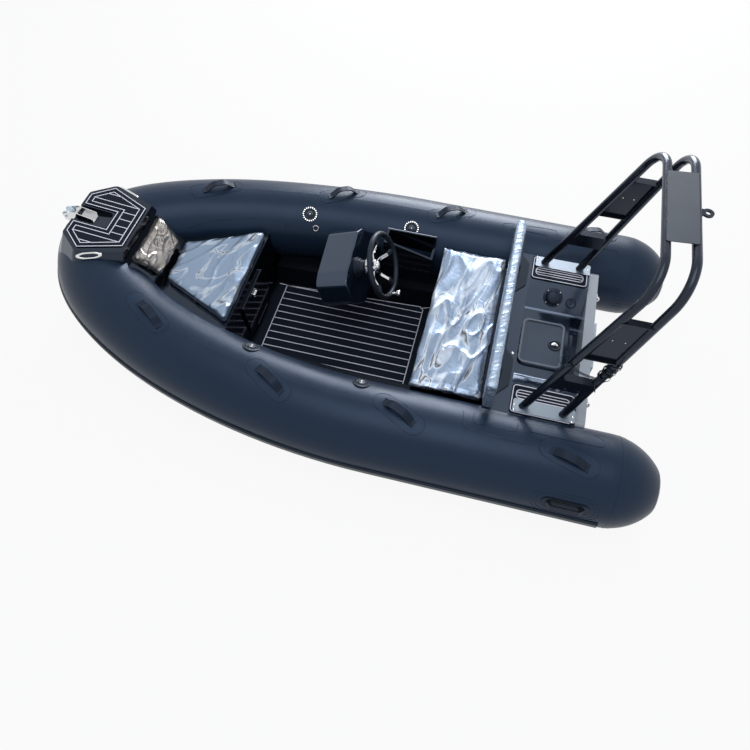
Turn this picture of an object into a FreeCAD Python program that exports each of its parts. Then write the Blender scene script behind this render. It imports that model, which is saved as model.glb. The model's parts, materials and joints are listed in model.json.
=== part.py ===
import FreeCAD, Part
import math
import os
import Sketcher
from FreeCAD import Matrix, Placement, Rotation, Vector

# Rigid inflatable boat, about 3.2 m long, with a side console and a stern arch.
# Millimetres. X points forward to the bow, Y to port, Z up.
# The origin is on the centreline at the aft face of the transom, at the waterline.

# Driving sizes: alias in the sheet, value, what it is.
SIZES = (
    ("tube_radius", 215, "tube radius amidships"),
    ("tube_bow_radius", 199, "tube radius at the bow"),
    ("tube_offset", 646, "tube centre from the centreline"),
    ("tube_height", 208, "tube centre above the waterline"),
    ("tube_rise", 136, "how far the tube centre climbs to the bow"),
    ("tube_bend_start", 943, "where the tubes start to close in"),
    ("tube_bow", 2645, "foremost point of the tube centre line"),
    ("cone_start", -125, "where the stern cones start"),
    ("cone_tip", -363, "aft end of the stern cones"),
    ("cone_turn", 50, "slope of the cone at its edge, degrees"),
    ("cone_edge", 60, "rounding of the cone's blunt end"),
    ("seat_gap", 0.3, "clearance where one piece seats on another"),
    ("strake_width", 50, "rub strake, width of the band"),
    ("strake_thickness", 10, "rub strake, how far it stands out"),
    ("strake_angle", -8, "rub strake, degrees above the tube's middle"),
    ("keel_depth", 220, "keel below the waterline"),
    ("hull_top", 13, "seam between hull and inner moulding"),
    ("sole_top", 25, "cockpit sole"),
    ("ledge_top", 130, "side ledges along the cockpit"),
    ("sole_half_aft", 305, "half width of the sole at the bench"),
    ("sole_half_fwd", 262, "half width of the sole at the bow locker"),
    ("ledge_slope", 28, "how far the riser leans out to the ledge"),
    ("mat_thickness", 5, "foam deck mats"),
    ("floor_mat_end_gap", 18, "from the floor mat to the bow locker"),
    ("floor_mat_bench_gap", 12, "from the floor mat to the front of the bench"),
    ("transom_thickness", 50, "transom plate"),
    ("transom_top", 360, "top of the transom"),
    ("transom_half", 480, "half width of the transom at its top"),
    ("motor_pad_half", 143, "half width of the outboard clamp plate"),
    ("motor_pad_thickness", 12, "outboard clamp plate"),
    ("motor_pad_low", 110, "lower edge of the clamp plate"),
    ("stern_eye_offset", 335, "stern eyes from the centreline"),
    ("stern_eye_height", 318, "stern eyes above the waterline"),
    ("deck_top", 375, "aft deck"),
    ("deck_fwd", 476, "forward face of the aft deck"),
    ("well_floor", 275, "splash well floor"),
    ("well_half_floor", 215, "half width of the well's floor"),
    ("well_half_top", 335, "half width of the well at the deck"),
    ("well_aft", 108, "where the well's floor drops to the gutter"),
    ("well_fwd", 356, "forward wall of the well"),
    ("gutter_floor", 205, "gutter ahead of the transom"),
    ("hatch_aft", 125, "aft edge of the hatch lid"),
    ("hatch_length", 212, "hatch lid"),
    ("hatch_half", 147, "half width of the hatch lid"),
    ("hatch_corner", 32, "corner radius of the hatch lid"),
    ("hatch_thickness", 13, "hatch lid"),
    ("hatch_overlap", 14, "how far the lid covers the deck round its hole"),
    ("hatch_well_depth", 225, "depth of the locker under the hatch"),
    ("hinge_radius", 4, "knuckles of the hatch and door hinges"),
    ("hinge_pin", 2, "pins of the hatch and door hinges, radius"),
    ("hinge_gap", 9, "from a lid's edge to its hinge"),
    ("latch_radius", 33, "twist latch on the hatch"),
    ("cap_radius", 50, "round cap in the side of the splash well"),
    ("cap_x", 217, "round cap, from the transom"),
    ("cap_along_slope", 82, "round cap, up the side of the well"),
    ("grommet_x", 122, "cable grommet, from the transom"),
    ("grommet_radius", 27, "cable grommet"),
    ("step_mat_aft", 58, "aft edge of the step mats"),
    ("step_mat_fwd", 352, "forward edge of the step mats"),
    ("step_mat_in", 341, "inner edge of the step mats"),
    ("step_mat_out", 503, "outer edge of the step mats"),
    ("bench_fwd", 838, "front of the bench"),
    ("bench_tube_gap", 6, "from the bench box to the tubes"),
    ("bench_cushion_low", 318, "underside of the bench cushion"),
    ("bench_cushion_top", 375, "top of the bench cushion"),
    ("bench_cushion_half", 470, "half width of the bench cushion"),
    ("backrest_half", 536, "half length of the bench backrest"),
    ("backrest_x", 430, "aft face of the bench backrest"),
    ("backrest_thickness", 48, "bench backrest"),
    ("backrest_low", 408, "lower edge of the bench backrest"),
    ("backrest_top", 597, "top of the bench backrest"),
    ("bracket_port", 280, "backrest bracket, port of the centreline"),
    ("bracket_starboard", 360, "backrest bracket, starboard of the centreline"),
    ("bracket_length", 300, "base of a backrest bracket"),
    ("bracket_depth", 62, "base of a backrest bracket, fore and aft"),
    ("locker_depth", 483, "bow locker, from its foot to the backrest slope"),
    ("locker_lean", 47, "how far the locker's face leans forward"),
    ("locker_seat", 318, "top of the bow locker"),
    ("locker_back_rise", 152, "height of the bow backrest slope"),
    ("locker_back_run", 114, "length of the bow backrest slope, seen from above"),
    ("locker_to_step", 24, "from the backrest slope to the bow step"),
    ("locker_wall", 12, "wall of the bow locker"),
    ("door_half", 150, "half width of the locker door"),
    ("door_low", 62, "foot of the locker door"),
    ("door_height", 205, "locker door"),
    ("door_thickness", 14, "locker door"),
    ("door_centre", 15, "locker door, port of the centreline"),
    ("seat_setback", 0, "bow seat cushion, behind the locker's edge"),
    ("seat_back_gap", 28, "from the bow seat cushion to the backrest slope"),
    ("seat_half_aft", 328, "half width of the bow seat cushion, aft"),
    ("seat_half_fwd", 138, "half width of the bow seat cushion, forward"),
    ("seat_thickness", 58, "bow seat cushion"),
    ("back_low_half", 128, "half width of the bow back cushion at its foot"),
    ("back_top_half", 166, "half width of the bow back cushion at its top"),
    ("back_length", 186, "bow back cushion up its slope"),
    ("back_thickness", 44, "bow back cushion"),
    ("back_rise", 22, "foot of the bow back cushion above the locker's seat"),
    ("step_behind_bow", 271, "aft edge of the bow step, from the tubes' foremost centre"),
    ("step_to_wide", 221, "from the bow step's aft edge to its widest place"),
    ("step_length", 332, "bow step"),
    ("step_half_aft", 156, "half width of the bow step, aft"),
    ("step_half_wide", 239, "greatest half width of the bow step"),
    ("step_half_fwd", 152, "half width of the bow step, forward"),
    ("step_top_aft", 546, "top of the bow step, aft"),
    ("step_top_fwd", 584, "top of the bow step, forward"),
    ("step_base", 408, "underside of the bow step behind the tube"),
    ("step_flare", 24, "flare of the bow step's sides, degrees"),
    ("notch_length", 181, "anchor notch, from the step's forward edge"),
    ("notch_depth", 18, "floor of the anchor notch below the step's mid height"),
    ("notch_half", 52, "half width of the anchor notch"),
    ("roller_reach", 110, "axis of the bow roller ahead of the tubes' foremost centre"),
    ("roller_z", 566, "axis of the bow roller"),
    ("roller_radius", 24, "bow roller"),
    ("roller_half", 22, "half width of the bow roller"),
    ("roller_pin", 6, "pin of the bow roller, radius"),
    ("hawse_setback", 60, "fairleads, aft of the bow step's widest place"),
    ("hawse_z", 544, "middle of the fairleads"),
    ("hawse_length", 130, "fairlead, long way"),
    ("hawse_height", 36, "fairlead, short way"),
    ("wheel_room", 263, "from the front of the bench to the steering wheel's centre"),
    ("wheel_y", -140, "centre of the steering wheel"),
    ("wheel_z", 474, "centre of the steering wheel"),
    ("wheel_radius", 161, "steering wheel, to the middle of the grip"),
    ("wheel_dish", 34, "hub of the steering wheel below its rim"),
    ("wheel_grip", 14, "steering wheel grip, radius"),
    ("wheel_tilt", 22, "tilt of the steering shaft, degrees"),
    ("helm_depth", 150, "from the wheel's centre to the console's face"),
    ("console_depth", 178, "console along the steering shaft"),
    ("console_foot_in", 306, "inner side of the console's foot"),
    ("console_foot_out", 398, "outer side of the console's foot"),
    ("arch_radius", 19, "arch tube, outer radius"),
    ("arch_foot_y", 461, "arch feet from the centreline"),
    ("arch_fwd_foot", 291, "forward hoop, foot"),
    ("arch_aft_foot", 108, "aft hoop, foot"),
    ("arch_fwd_rake", 21.0, "forward hoop, rake in degrees"),
    ("arch_aft_rake", 16.7, "aft hoop, rake in degrees"),
    ("arch_fwd_top", 1280, "forward hoop, crossbar"),
    ("arch_aft_top", 1290, "aft hoop, crossbar"),
    ("arch_lean", 0.065, "how far the legs lean in, per unit of length"),
    ("arch_bend", 150, "bend of the arch's corners"),
    ("arch_plate", 5, "plates between the hoops"),
    ("arch_plate_low", 812, "lower end of the plates between the legs"),
    ("arch_plate_high", 1058, "upper end of the plates between the legs"),
    ("arch_flange", 36, "width of the folded ends of the arch's plates"),
    ("arch_rung", 618, "middle of the rungs between the legs"),
    ("arch_rung_height", 78, "rungs between the legs"),
    ("arch_plate_half", 203, "half width of the top plate"),
    ("base_plate_aft", 52, "base plates of the arch, aft end"),
    ("base_plate_fwd", 338, "base plates of the arch, forward end"),
    ("base_plate_width", 70, "base plates of the arch"),
    ("base_plate_thickness", 6, "base plates of the arch"),
    ("handle_length", 182, "webbing handle"),
    ("handle_width", 40, "webbing handle"),
    ("handle_rise", 38, "webbing handle above the tube"),
    ("handle_thickness", 5, "webbing handle"),
    ("valve_radius", 42, "inflation valve"),
    ("relief_radius", 20, "relief valve"),
    ("pocket_bench_gap", 44, "from the bench to the side pocket"),
    ("pocket_length", 271, "side pocket"),
    ("pocket_in", 372, "side pocket, inner face from the centreline"),
    ("pocket_out", 488, "side pocket, outer lip from the centreline"),
    ("pocket_floor", 262, "side pocket, its floor"),
    ("pocket_top", 402, "side pocket, outer lip"),
    ("pocket_wall", 12, "side pocket, its wall"),
)


class Size:
    """A length or angle that keeps the sheet formula it was worked out with."""

    def __init__(self, value, formula):
        self.value = float(value)
        self.formula = formula

    def __add__(self, other):
        other = as_size(other)
        return Size(self.value + other.value, "(%s + %s)" % (self.formula, other.formula))

    def __sub__(self, other):
        other = as_size(other)
        return Size(self.value - other.value, "(%s - %s)" % (self.formula, other.formula))

    def __mul__(self, other):
        other = as_size(other)
        return Size(self.value * other.value, "(%s * %s)" % (self.formula, other.formula))

    def __truediv__(self, other):
        other = as_size(other)
        return Size(self.value / other.value, "(%s / %s)" % (self.formula, other.formula))

    def __radd__(self, other):
        return as_size(other) + self

    def __rsub__(self, other):
        return as_size(other) - self

    def __rmul__(self, other):
        return as_size(other) * self

    def __neg__(self):
        return Size(-self.value, "(0 - %s)" % self.formula)


def as_size(number):
    """Wrap a plain number so that it can be mixed with sheet sizes."""
    if isinstance(number, Size):
        return number
    return Size(number, "(%.6g)" % number if number < 0 else "%.6g" % number)


def sine(degrees):
    degrees = as_size(degrees)
    return Size(math.sin(math.radians(degrees.value)), "sin(%s)" % degrees.formula)


def cosine(degrees):
    degrees = as_size(degrees)
    return Size(math.cos(math.radians(degrees.value)), "cos(%s)" % degrees.formula)


class Sizes:
    """The driving sizes by name, each tied to its cell."""


doc = FreeCAD.newDocument("RibBoat")
sheet = doc.addObject("Spreadsheet::Sheet", "Sizes")
S = Sizes()
for row, (alias, number, note) in enumerate(SIZES, start=1):
    sheet.set("A%d" % row, note)
    sheet.set("B%d" % row, "%.6g" % number)
    sheet.setAlias("B%d" % row, alias)
    setattr(S, alias, Size(number, "Sizes.%s" % alias))
doc.recompute()


def follow(alias, size, note):
    """Add a size that the sheet works out from others."""
    row = len(SIZES) + 1 + len(FOLLOWING)
    FOLLOWING.append(alias)
    sheet.set("A%d" % row, note)
    sheet.set("B%d" % row, "=" + size.formula.replace("Sizes.", ""))
    sheet.setAlias("B%d" % row, alias)
    setattr(S, alias, Size(size.value, "Sizes.%s" % alias))


FOLLOWING = []
follow("step_aft", S.tube_bow - S.step_behind_bow, "aft edge of the bow step")
follow("step_wide", S.step_aft + S.step_to_wide, "where the bow step is widest")
follow("step_fwd", S.step_aft + S.step_length, "forward edge of the bow step")
follow("notch_aft", S.step_fwd - S.notch_length, "inner end of the anchor notch")
follow("bench_box_half", S.tube_offset - S.tube_radius - S.bench_tube_gap,
       "half width of the bench box")
follow("notch_floor", (S.step_top_aft + S.step_top_fwd) / 2 - S.notch_depth,
       "floor of the anchor notch")
follow("hawse_x", S.step_wide - S.hawse_setback, "fairleads on the bow step")
follow("roller_x", S.tube_bow + S.roller_reach, "axis of the bow roller")
follow("locker_back_end", S.step_aft - S.locker_to_step, "head of the bow backrest slope")
follow("locker_back_foot", S.locker_back_end - S.locker_back_run, "foot of the backrest slope")
follow("locker_back_top", S.locker_seat + S.locker_back_rise, "top of the bow backrest slope")
follow("locker_foot", S.locker_back_foot - S.locker_depth, "foot of the bow locker's face")
follow("seat_aft", S.locker_foot + S.locker_lean + S.seat_setback, "aft edge of the bow seat")
follow("seat_fwd", S.locker_back_foot - S.seat_back_gap, "forward edge of the bow seat")
follow("floor_mat_aft", S.bench_fwd + S.floor_mat_bench_gap, "aft end of the floor mat")
follow("floor_mat_fwd", S.locker_foot - S.floor_mat_end_gap, "forward end of the floor mat")
follow("wheel_x", S.bench_fwd + S.wheel_room, "centre of the steering wheel")
follow("pocket_aft", S.bench_fwd + S.pocket_bench_gap, "side pocket, aft end")
follow("pocket_fwd", S.pocket_aft + S.pocket_length, "side pocket, forward end")
follow("hatch_fwd", S.hatch_aft + S.hatch_length, "forward edge of the hatch lid")
doc.recompute()

NODES = {}


def keep(label, piece):
    """Mark an object as a finished sub-part; its label names its file."""
    piece.Label = label
    NODES[label] = piece
    return piece


def bind(piece, prop, size):
    piece.setExpression(prop, as_size(size).formula)


def place(piece, x=0, y=0, z=0, turn=None):
    """Put a piece at x, y, z, turned about its own origin first."""
    if turn is not None:
        piece.Placement = Placement(Vector(0, 0, 0), turn)
    for axis, size in (("x", x), ("y", y), ("z", z)):
        bind(piece, "Placement.Base." + axis, size)
    return piece


# Sketches

PLANES = {"XY": ("XY_Plane", 1), "XZ": ("XZ_Plane", -1), "YZ": ("YZ_Plane", 1)}
ORIGIN_POINT = -1
H_AXIS = -1
V_AXIS = -2


def pin_point(sketch, geometry, end, u, v):
    """Fix a sketch point at u, v from the sketch's origin."""
    for kind, axis, size in (("DistanceX", V_AXIS, as_size(u)), ("DistanceY", H_AXIS, as_size(v))):
        if size.value == 0:
            sketch.addConstraint(Sketcher.Constraint("PointOnObject", geometry, end, axis))
            continue
        index = sketch.addConstraint(
            Sketcher.Constraint(kind, ORIGIN_POINT, 1, geometry, end, size.value))
        sketch.setExpression("Constraints[%d]" % index, size.formula)


def corner_arc(before, corner, after, radius):
    """Where an arc of this radius leaves and joins the two sides of a corner."""
    to_before = (before - corner).normalize()
    to_after = (after - corner).normalize()
    half = to_before.getAngle(to_after) / 2
    first = corner + to_before * (radius / math.tan(half))
    last = corner + to_after * (radius / math.tan(half))
    centre = corner + (to_before + to_after).normalize() * (radius / math.sin(half))
    left_turn = to_before.cross(to_after).z < 0
    return first, last, centre, left_turn


def draw_outline(sketch, corners, closed=True):
    """Draw straight sides through corners (u, v) or (u, v, radius)."""
    corners = [tuple(as_size(value) for value in corner) for corner in corners]
    points = [Vector(c[0].value, c[1].value, 0) for c in corners]
    count = len(points)
    arcs = {}
    for i, corner in enumerate(corners):
        if len(corner) == 3:
            arcs[i] = corner_arc(points[i - 1], points[i], points[(i + 1) % count],
                                 corner[2].value)
    sides = {}
    for i in range(count if closed else count - 1):
        j = (i + 1) % count
        start = arcs[i][1] if i in arcs else points[i]
        end = arcs[j][0] if j in arcs else points[j]
        sides[i] = sketch.addGeometry(Part.LineSegment(start, end), False)
    for i, corner in enumerate(corners):
        if i not in arcs:
            if i in sides:
                pin_point(sketch, sides[i], 1, corner[0], corner[1])
            if (i > 0 or closed) and i in sides:
                sketch.addConstraint(Sketcher.Constraint(
                    "Coincident", sides[(i - 1) % count], 2, sides[i], 1))
            if i not in sides:
                pin_point(sketch, sides[i - 1], 2, corner[0], corner[1])
            continue
        first, last, centre, left_turn = arcs[i]
        start, end = (first, last) if left_turn else (last, first)
        circle = Part.Circle(centre, Vector(0, 0, 1), corner[2].value)
        arc = sketch.addGeometry(Part.ArcOfCircle(
            circle, circle.parameter(start), circle.parameter(end)), False)
        vertex = sketch.addGeometry(Part.Point(points[i]), True)
        incoming = sides[(i - 1) % count]
        sketch.addConstraint(Sketcher.Constraint("PointOnObject", vertex, 1, incoming))
        sketch.addConstraint(Sketcher.Constraint("PointOnObject", vertex, 1, sides[i]))
        pin_point(sketch, vertex, 1, corner[0], corner[1])
        sketch.addConstraint(Sketcher.Constraint(
            "Tangent", incoming, 2, arc, 1 if left_turn else 2))
        sketch.addConstraint(Sketcher.Constraint(
            "Tangent", arc, 2 if left_turn else 1, sides[i], 1))
        index = sketch.addConstraint(Sketcher.Constraint("Radius", arc, corner[2].value))
        sketch.setExpression("Constraints[%d]" % index, corner[2].formula)


def draw_circle(sketch, u, v, radius):
    u, v, radius = as_size(u), as_size(v), as_size(radius)
    circle = sketch.addGeometry(
        Part.Circle(Vector(u.value, v.value, 0), Vector(0, 0, 1), radius.value), False)
    pin_point(sketch, circle, 3, u, v)
    index = sketch.addConstraint(Sketcher.Constraint("Radius", circle, radius.value))
    sketch.setExpression("Constraints[%d]" % index, radius.formula)


def draw(body, plane, loops, level=0, closed=True):
    """Sketch loops on a plane of the body; a loop of one triple is a circle."""
    role, sign = PLANES[plane]
    sketch = body.newObject("Sketcher::SketchObject", body.Name + "Sketch")
    support = [f for f in body.Origin.OriginFeatures if f.Role == role][0]
    sketch.AttachmentSupport = (support, [""])
    sketch.MapMode = "FlatFace"
    bind(sketch, "AttachmentOffset.Base.z", as_size(level) * sign)
    for loop in loops:
        if len(loop) == 1:
            draw_circle(sketch, *loop[0])
        else:
            draw_outline(sketch, loop, closed)
    return sketch


# Features of a body

def new_body(name):
    return doc.addObject("PartDesign::Body", name)


def extrude(kind, body, plane, loops, low, high, taper=None, downward=False):
    """Pad or pocket the loops between two levels of the plane's axis, drawn at the first."""
    volume = body.Shape.Volume if body.Tip else 0
    sketch = draw(body, plane, loops, high if downward else low)
    feature = body.newObject("PartDesign::" + kind, body.Name + kind)
    feature.Profile = (sketch, [""])
    along_normal = (PLANES[plane][1] > 0) != downward
    feature.Reversed = along_normal if kind == "Pocket" else not along_normal
    bind(feature, "Length", as_size(high) - low)
    if taper is not None:
        bind(feature, "TaperAngle", taper)
    doc.recompute()
    if kind == "Pocket" and not body.Shape.Volume < volume:
        raise RuntimeError("a pocket in %s cuts nothing" % body.Name)
    return body


def pad(body, plane, loops, low, high, **options):
    return extrude("Pad", body, plane, loops, low, high, **options)


def pocket(body, plane, loops, low, high, **options):
    return extrude("Pocket", body, plane, loops, low, high, **options)


def revolve(body, plane, loop, axis="V_Axis"):
    """Turn a loop once round an axis of its own sketch."""
    sketch = draw(body, plane, [loop])
    feature = body.newObject("PartDesign::Revolution", body.Name + "Revolution")
    feature.Profile = (sketch, [""])
    feature.ReferenceAxis = (sketch, [axis])
    feature.Angle = 360
    doc.recompute()
    return body


def round_edges(body, radius, wanted):
    """Fillet the edges of the body's latest feature that the test picks."""
    base = body.Tip
    names = ["Edge%d" % (i + 1) for i, edge in enumerate(base.Shape.Edges) if wanted(edge)]
    fillet = body.newObject("PartDesign::Fillet", body.Name + "Fillet")
    fillet.Base = (base, names)
    bind(fillet, "Radius", radius)
    doc.recompute()
    return body


def along(direction):
    """A test for straight edges that run in one direction."""
    def wanted(edge):
        if len(edge.Vertexes) != 2 or edge.Curve.TypeId != "Part::GeomLine":
            return False
        run = (edge.Vertexes[1].Point - edge.Vertexes[0].Point).normalize()
        return abs(run.dot(direction)) > 0.999
    return wanted


def lying_at(axis, level):
    """A test for edges that lie wholly at one level of an axis."""
    level = as_size(level).value

    def wanted(edge):
        box = edge.BoundBox
        low, high = {"x": (box.XMin, box.XMax), "y": (box.YMin, box.YMax),
                     "z": (box.ZMin, box.ZMax)}[axis]
        return abs(low - level) < 0.01 and abs(high - level) < 0.01
    return wanted


UP = Vector(0, 0, 1)
FORWARD = Vector(1, 0, 0)
PORT = Vector(0, 1, 0)


# Primitives and booleans

def box(name, low, high):
    """A box between two corners."""
    piece = doc.addObject("Part::Box", name)
    for prop, i in (("Length", 0), ("Width", 1), ("Height", 2)):
        bind(piece, prop, as_size(high[i]) - low[i])
    return place(piece, *low)


def cylinder(name, radius, length, x=0, y=0, z=0, turn=None):
    piece = doc.addObject("Part::Cylinder", name)
    bind(piece, "Radius", radius)
    bind(piece, "Height", length)
    return place(piece, x, y, z, turn)


def torus(name, ring, section):
    piece = doc.addObject("Part::Torus", name)
    bind(piece, "Radius1", ring)
    bind(piece, "Radius2", section)
    return piece


def shape(name, solid):
    """A free-form solid that no sketch or primitive gives."""
    piece = doc.addObject("Part::Feature", name)
    piece.Shape = solid
    return piece


def combine(kind, name, base, tool):
    piece = doc.addObject("Part::" + kind, name)
    piece.Base = base
    piece.Tool = tool
    doc.recompute()
    return piece


def cut(name, base, tool):
    return combine("Cut", name, base, tool)


def common(name, base, tool):
    return combine("Common", name, base, tool)


def fuse(name, *pieces):
    piece = doc.addObject("Part::MultiFuse", name)
    piece.Shapes = list(pieces)
    doc.recompute()
    return piece


def mirrored(name, piece):
    """The same piece on the other side of the centreline."""
    copy = doc.addObject("Part::Mirroring", name)
    copy.Source = piece
    copy.Normal = PORT
    doc.recompute()
    return copy


def both_sides(name, piece):
    return fuse(name, piece, mirrored(name + "Starboard", piece))


# The run of a tube's centre line

BOW_FULLNESS = 1.862
TUBE_STATIONS = (0, 15, 30, 44, 57, 70, 90)


def tube_run(degrees):
    """Centre, direction and radius of the port tube, 0 at the bend's start, 90 at the bow."""
    theta = math.radians(degrees)
    length = S.tube_bow.value - S.tube_bend_start.value
    forward = math.sin(theta)
    across = max(math.cos(theta), 0.0)
    power = 2 / BOW_FULLNESS
    centre = Vector(
        S.tube_bend_start.value + length * forward,
        S.tube_offset.value * across ** power,
        S.tube_height.value + S.tube_rise.value * forward ** 2)
    radius = S.tube_radius.value + (S.tube_bow_radius.value - S.tube_radius.value) * forward ** 2
    if degrees >= 90:
        return centre, Vector(0, -1, 0), radius
    direction = Vector(
        length * across,
        -S.tube_offset.value * power * across ** (power - 1) * forward,
        2 * S.tube_rise.value * forward * across)
    return centre, direction.normalize(), radius


def tube_at(x):
    """Distance from the centreline, height and radius of the tube's centre at a station x."""
    share = (x - S.tube_bend_start.value) / (S.tube_bow.value - S.tube_bend_start.value)
    degrees = math.degrees(math.asin(min(max(share, 0.0), 1.0)))
    centre, _, radius = tube_run(degrees)
    return centre.y, centre.z, radius


def tube_frame(degrees):
    """Centre, outward and upward directions across the tube, and its radius."""
    centre, direction, radius = tube_run(degrees)
    outward = UP.cross(direction).normalize()
    upward = direction.cross(outward)
    return centre, outward, upward, direction, radius


def tube_section(degrees, gap):
    centre, _, upward, direction, radius = tube_frame(degrees)
    circle = Part.Circle(centre, direction, radius + gap)
    circle.XAxis = upward
    return Part.Wire([circle.toShape()])


def cone_outline(gap):
    """Half outline of the straight stretch and its blunt stern cone, turned about the axis."""
    radius = S.tube_radius.value + gap
    turn = math.radians(S.cone_turn.value)
    edge = S.cone_edge.value
    run = S.cone_start.value - S.cone_tip.value + gap
    sweep = (run - edge * (1 - math.sin(turn))) / math.sin(turn)

    def on_sweep(angle):
        return Vector(S.cone_start.value - sweep * math.sin(angle),
                      radius - sweep * (1 - math.cos(angle)), 0)

    shoulder = on_sweep(turn)
    edge_centre = shoulder + Vector(math.sin(turn), -math.cos(turn), 0) * edge

    def on_edge(angle):
        return edge_centre + Vector(-math.sin(angle), math.cos(angle), 0) * edge

    middle = (turn + math.pi / 2) / 2
    tip = on_edge(math.pi / 2)
    bend = S.tube_bend_start.value
    start = Vector(S.cone_start.value, radius, 0)
    return Part.Wire([
        Part.LineSegment(Vector(bend, radius, 0), start).toShape(),
        Part.Arc(start, on_sweep(turn / 2), shoulder).toShape(),
        Part.Arc(shoulder, on_edge(middle), tip).toShape(),
        Part.LineSegment(tip, Vector(tip.x, 0, 0)).toShape(),
        Part.LineSegment(Vector(tip.x, 0, 0), Vector(bend, 0, 0)).toShape(),
        Part.LineSegment(Vector(bend, 0, 0), Vector(bend, radius, 0)).toShape(),
    ])


def tube_solid(gap=0.0):
    """One tube of the port side, from its stern cone to the seam at the bow."""
    bend = Part.makeLoft([tube_section(d, gap) for d in TUBE_STATIONS], True, False)
    straight = Part.Face(cone_outline(gap)).revolve(Vector(0, 0, 0), FORWARD, 360)
    straight.translate(Vector(0, S.tube_offset.value, S.tube_height.value))
    solid = bend.fuse(straight)
    return solid.Solids[0]


def flip(solid):
    return solid.mirror(Vector(0, 0, 0), PORT)


def make_tubes():
    """Two air chambers that meet at the bow, and the room they need in other pieces."""
    solid = tube_solid()
    keep("tube_port", shape("TubePort", solid))
    keep("tube_starboard", shape("TubeStarboard", flip(solid)))
    room = tube_solid(S.seat_gap.value)
    return shape("TubeRoom", room.fuse(flip(room)))


def strake_section(degrees):
    """The rub strake's section: a band with rounded shoulders, seated on the tube."""
    centre, outward, upward, _, radius = tube_frame(degrees)
    inner = radius - STRAKE_SINK
    seat = radius + S.seat_gap.value
    outer = seat + S.strake_thickness.value
    shoulder = seat + S.strake_thickness.value * 0.35
    middle = math.radians(S.strake_angle.value)
    half = S.strake_width.value / 2 / radius
    crown = half * 0.62

    def at(distance, angle):
        return centre + (outward * math.cos(angle) + upward * math.sin(angle)) * distance

    low, high = middle - half, middle + half
    return Part.Wire([
        Part.Arc(at(inner, low), at(inner, middle), at(inner, high)).toShape(),
        Part.LineSegment(at(inner, high), at(shoulder, high)).toShape(),
        Part.LineSegment(at(shoulder, high), at(outer, middle + crown)).toShape(),
        Part.Arc(at(outer, middle + crown), at(outer, middle),
                 at(outer, middle - crown)).toShape(),
        Part.LineSegment(at(outer, middle - crown), at(shoulder, low)).toShape(),
        Part.LineSegment(at(shoulder, low), at(inner, low)).toShape(),
    ])


def make_strakes():
    """Rub strakes along the outside of both tubes, butted at the bow."""
    bend = Part.makeLoft([strake_section(d) for d in TUBE_STATIONS], True, False)
    run = S.cone_start.value - S.tube_bend_start.value
    straight = Part.Face(strake_section(0)).extrude(Vector(run, 0, 0))
    solid = bend.fuse(straight).Solids[0]
    port = cut("StrakePort", shape("StrakeBand", solid), tube_room)
    keep("rub_strake_port", port)
    keep("rub_strake_starboard", mirrored("StrakeStarboard", port))


# The band is drawn this deep into the tube, then cut back to its seat.
STRAKE_SINK = 4


# Hull: station x, keel height as a share of the keel's depth or the tubes' rise, and chine
# (half width, height). Drawn for tubes whose centre line reaches HULL_DRAWN_BOW and lies
# HULL_DRAWN_OFFSET from the centreline, and stretched to the sheet's.
HULL_LINES = (
    (50, -1.0, 455, -50),
    (700, -1.0, 458, -48),
    (1300, -0.98, 448, -38),
    (1750, -0.85, 395, -14),
    (2050, -0.62, 318, 18),
    (2290, -0.28, 232, 58),
    (2480, 0.10, 140, 98),
    (2600, 0.52, 48, 130),
)
HULL_DRAWN_BOW = 2645
HULL_DRAWN_OFFSET = 646
HULL_FRAMES = (50, 700, 1000, 1300, 1550, 1750, 1910, 2050, 2180, 2290, 2390, 2480, 2600)
CHINE_FLAT = 26
LIFT_STRAKE = 20
FLANGE_IN = 0.492
FLANGE_DOWN = 0.871


def flange_at(x, inset=0.0):
    """Where the hull's side meets the tube: half width and height."""
    offset, height, radius = tube_at(x)
    return max(offset - FLANGE_IN * radius - inset, 12.0), height - FLANGE_DOWN * radius


def hull_section(x, keel, chine_half, chine_height):
    """A vee bottom with one lifting strake and a chine flat on each side."""
    keel_point = Vector(x, 0, keel)
    chine = Vector(x, chine_half, chine_height)
    strake_in = keel_point + (chine - keel_point) * 0.5
    strake_out = strake_in + Vector(0, LIFT_STRAKE * chine_half / 455, 0)
    flat = chine + Vector(0, CHINE_FLAT * chine_half / 455, 0)
    half, height = flange_at(x)
    flange = Vector(x, max(half, flat.y + 4), height)
    port = [strake_in, strake_out, chine, flat, flange]
    starboard = [Vector(p.x, -p.y, p.z) for p in reversed(port)]
    return Part.makePolygon([keel_point] + port + starboard + [keel_point])


def faired(x, column):
    """A column of the table of offsets at any station, by a cubic through its entries."""
    table = HULL_LINES
    last = len(table) - 1
    i = max(k for k in range(last) if table[k][0] <= x)

    def slope(k):
        before, after = table[max(k - 1, 0)], table[min(k + 1, last)]
        return (after[column] - before[column]) / (after[0] - before[0])

    run = table[i + 1][0] - table[i][0]
    t = (x - table[i][0]) / run
    start, end = table[i][column], table[i + 1][column]
    bend = 3 * (end - start) - run * (2 * slope(i) + slope(i + 1))
    twist = 2 * (start - end) + run * (slope(i) + slope(i + 1))
    return start + run * slope(i) * t + bend * t ** 2 + twist * t ** 3


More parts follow.
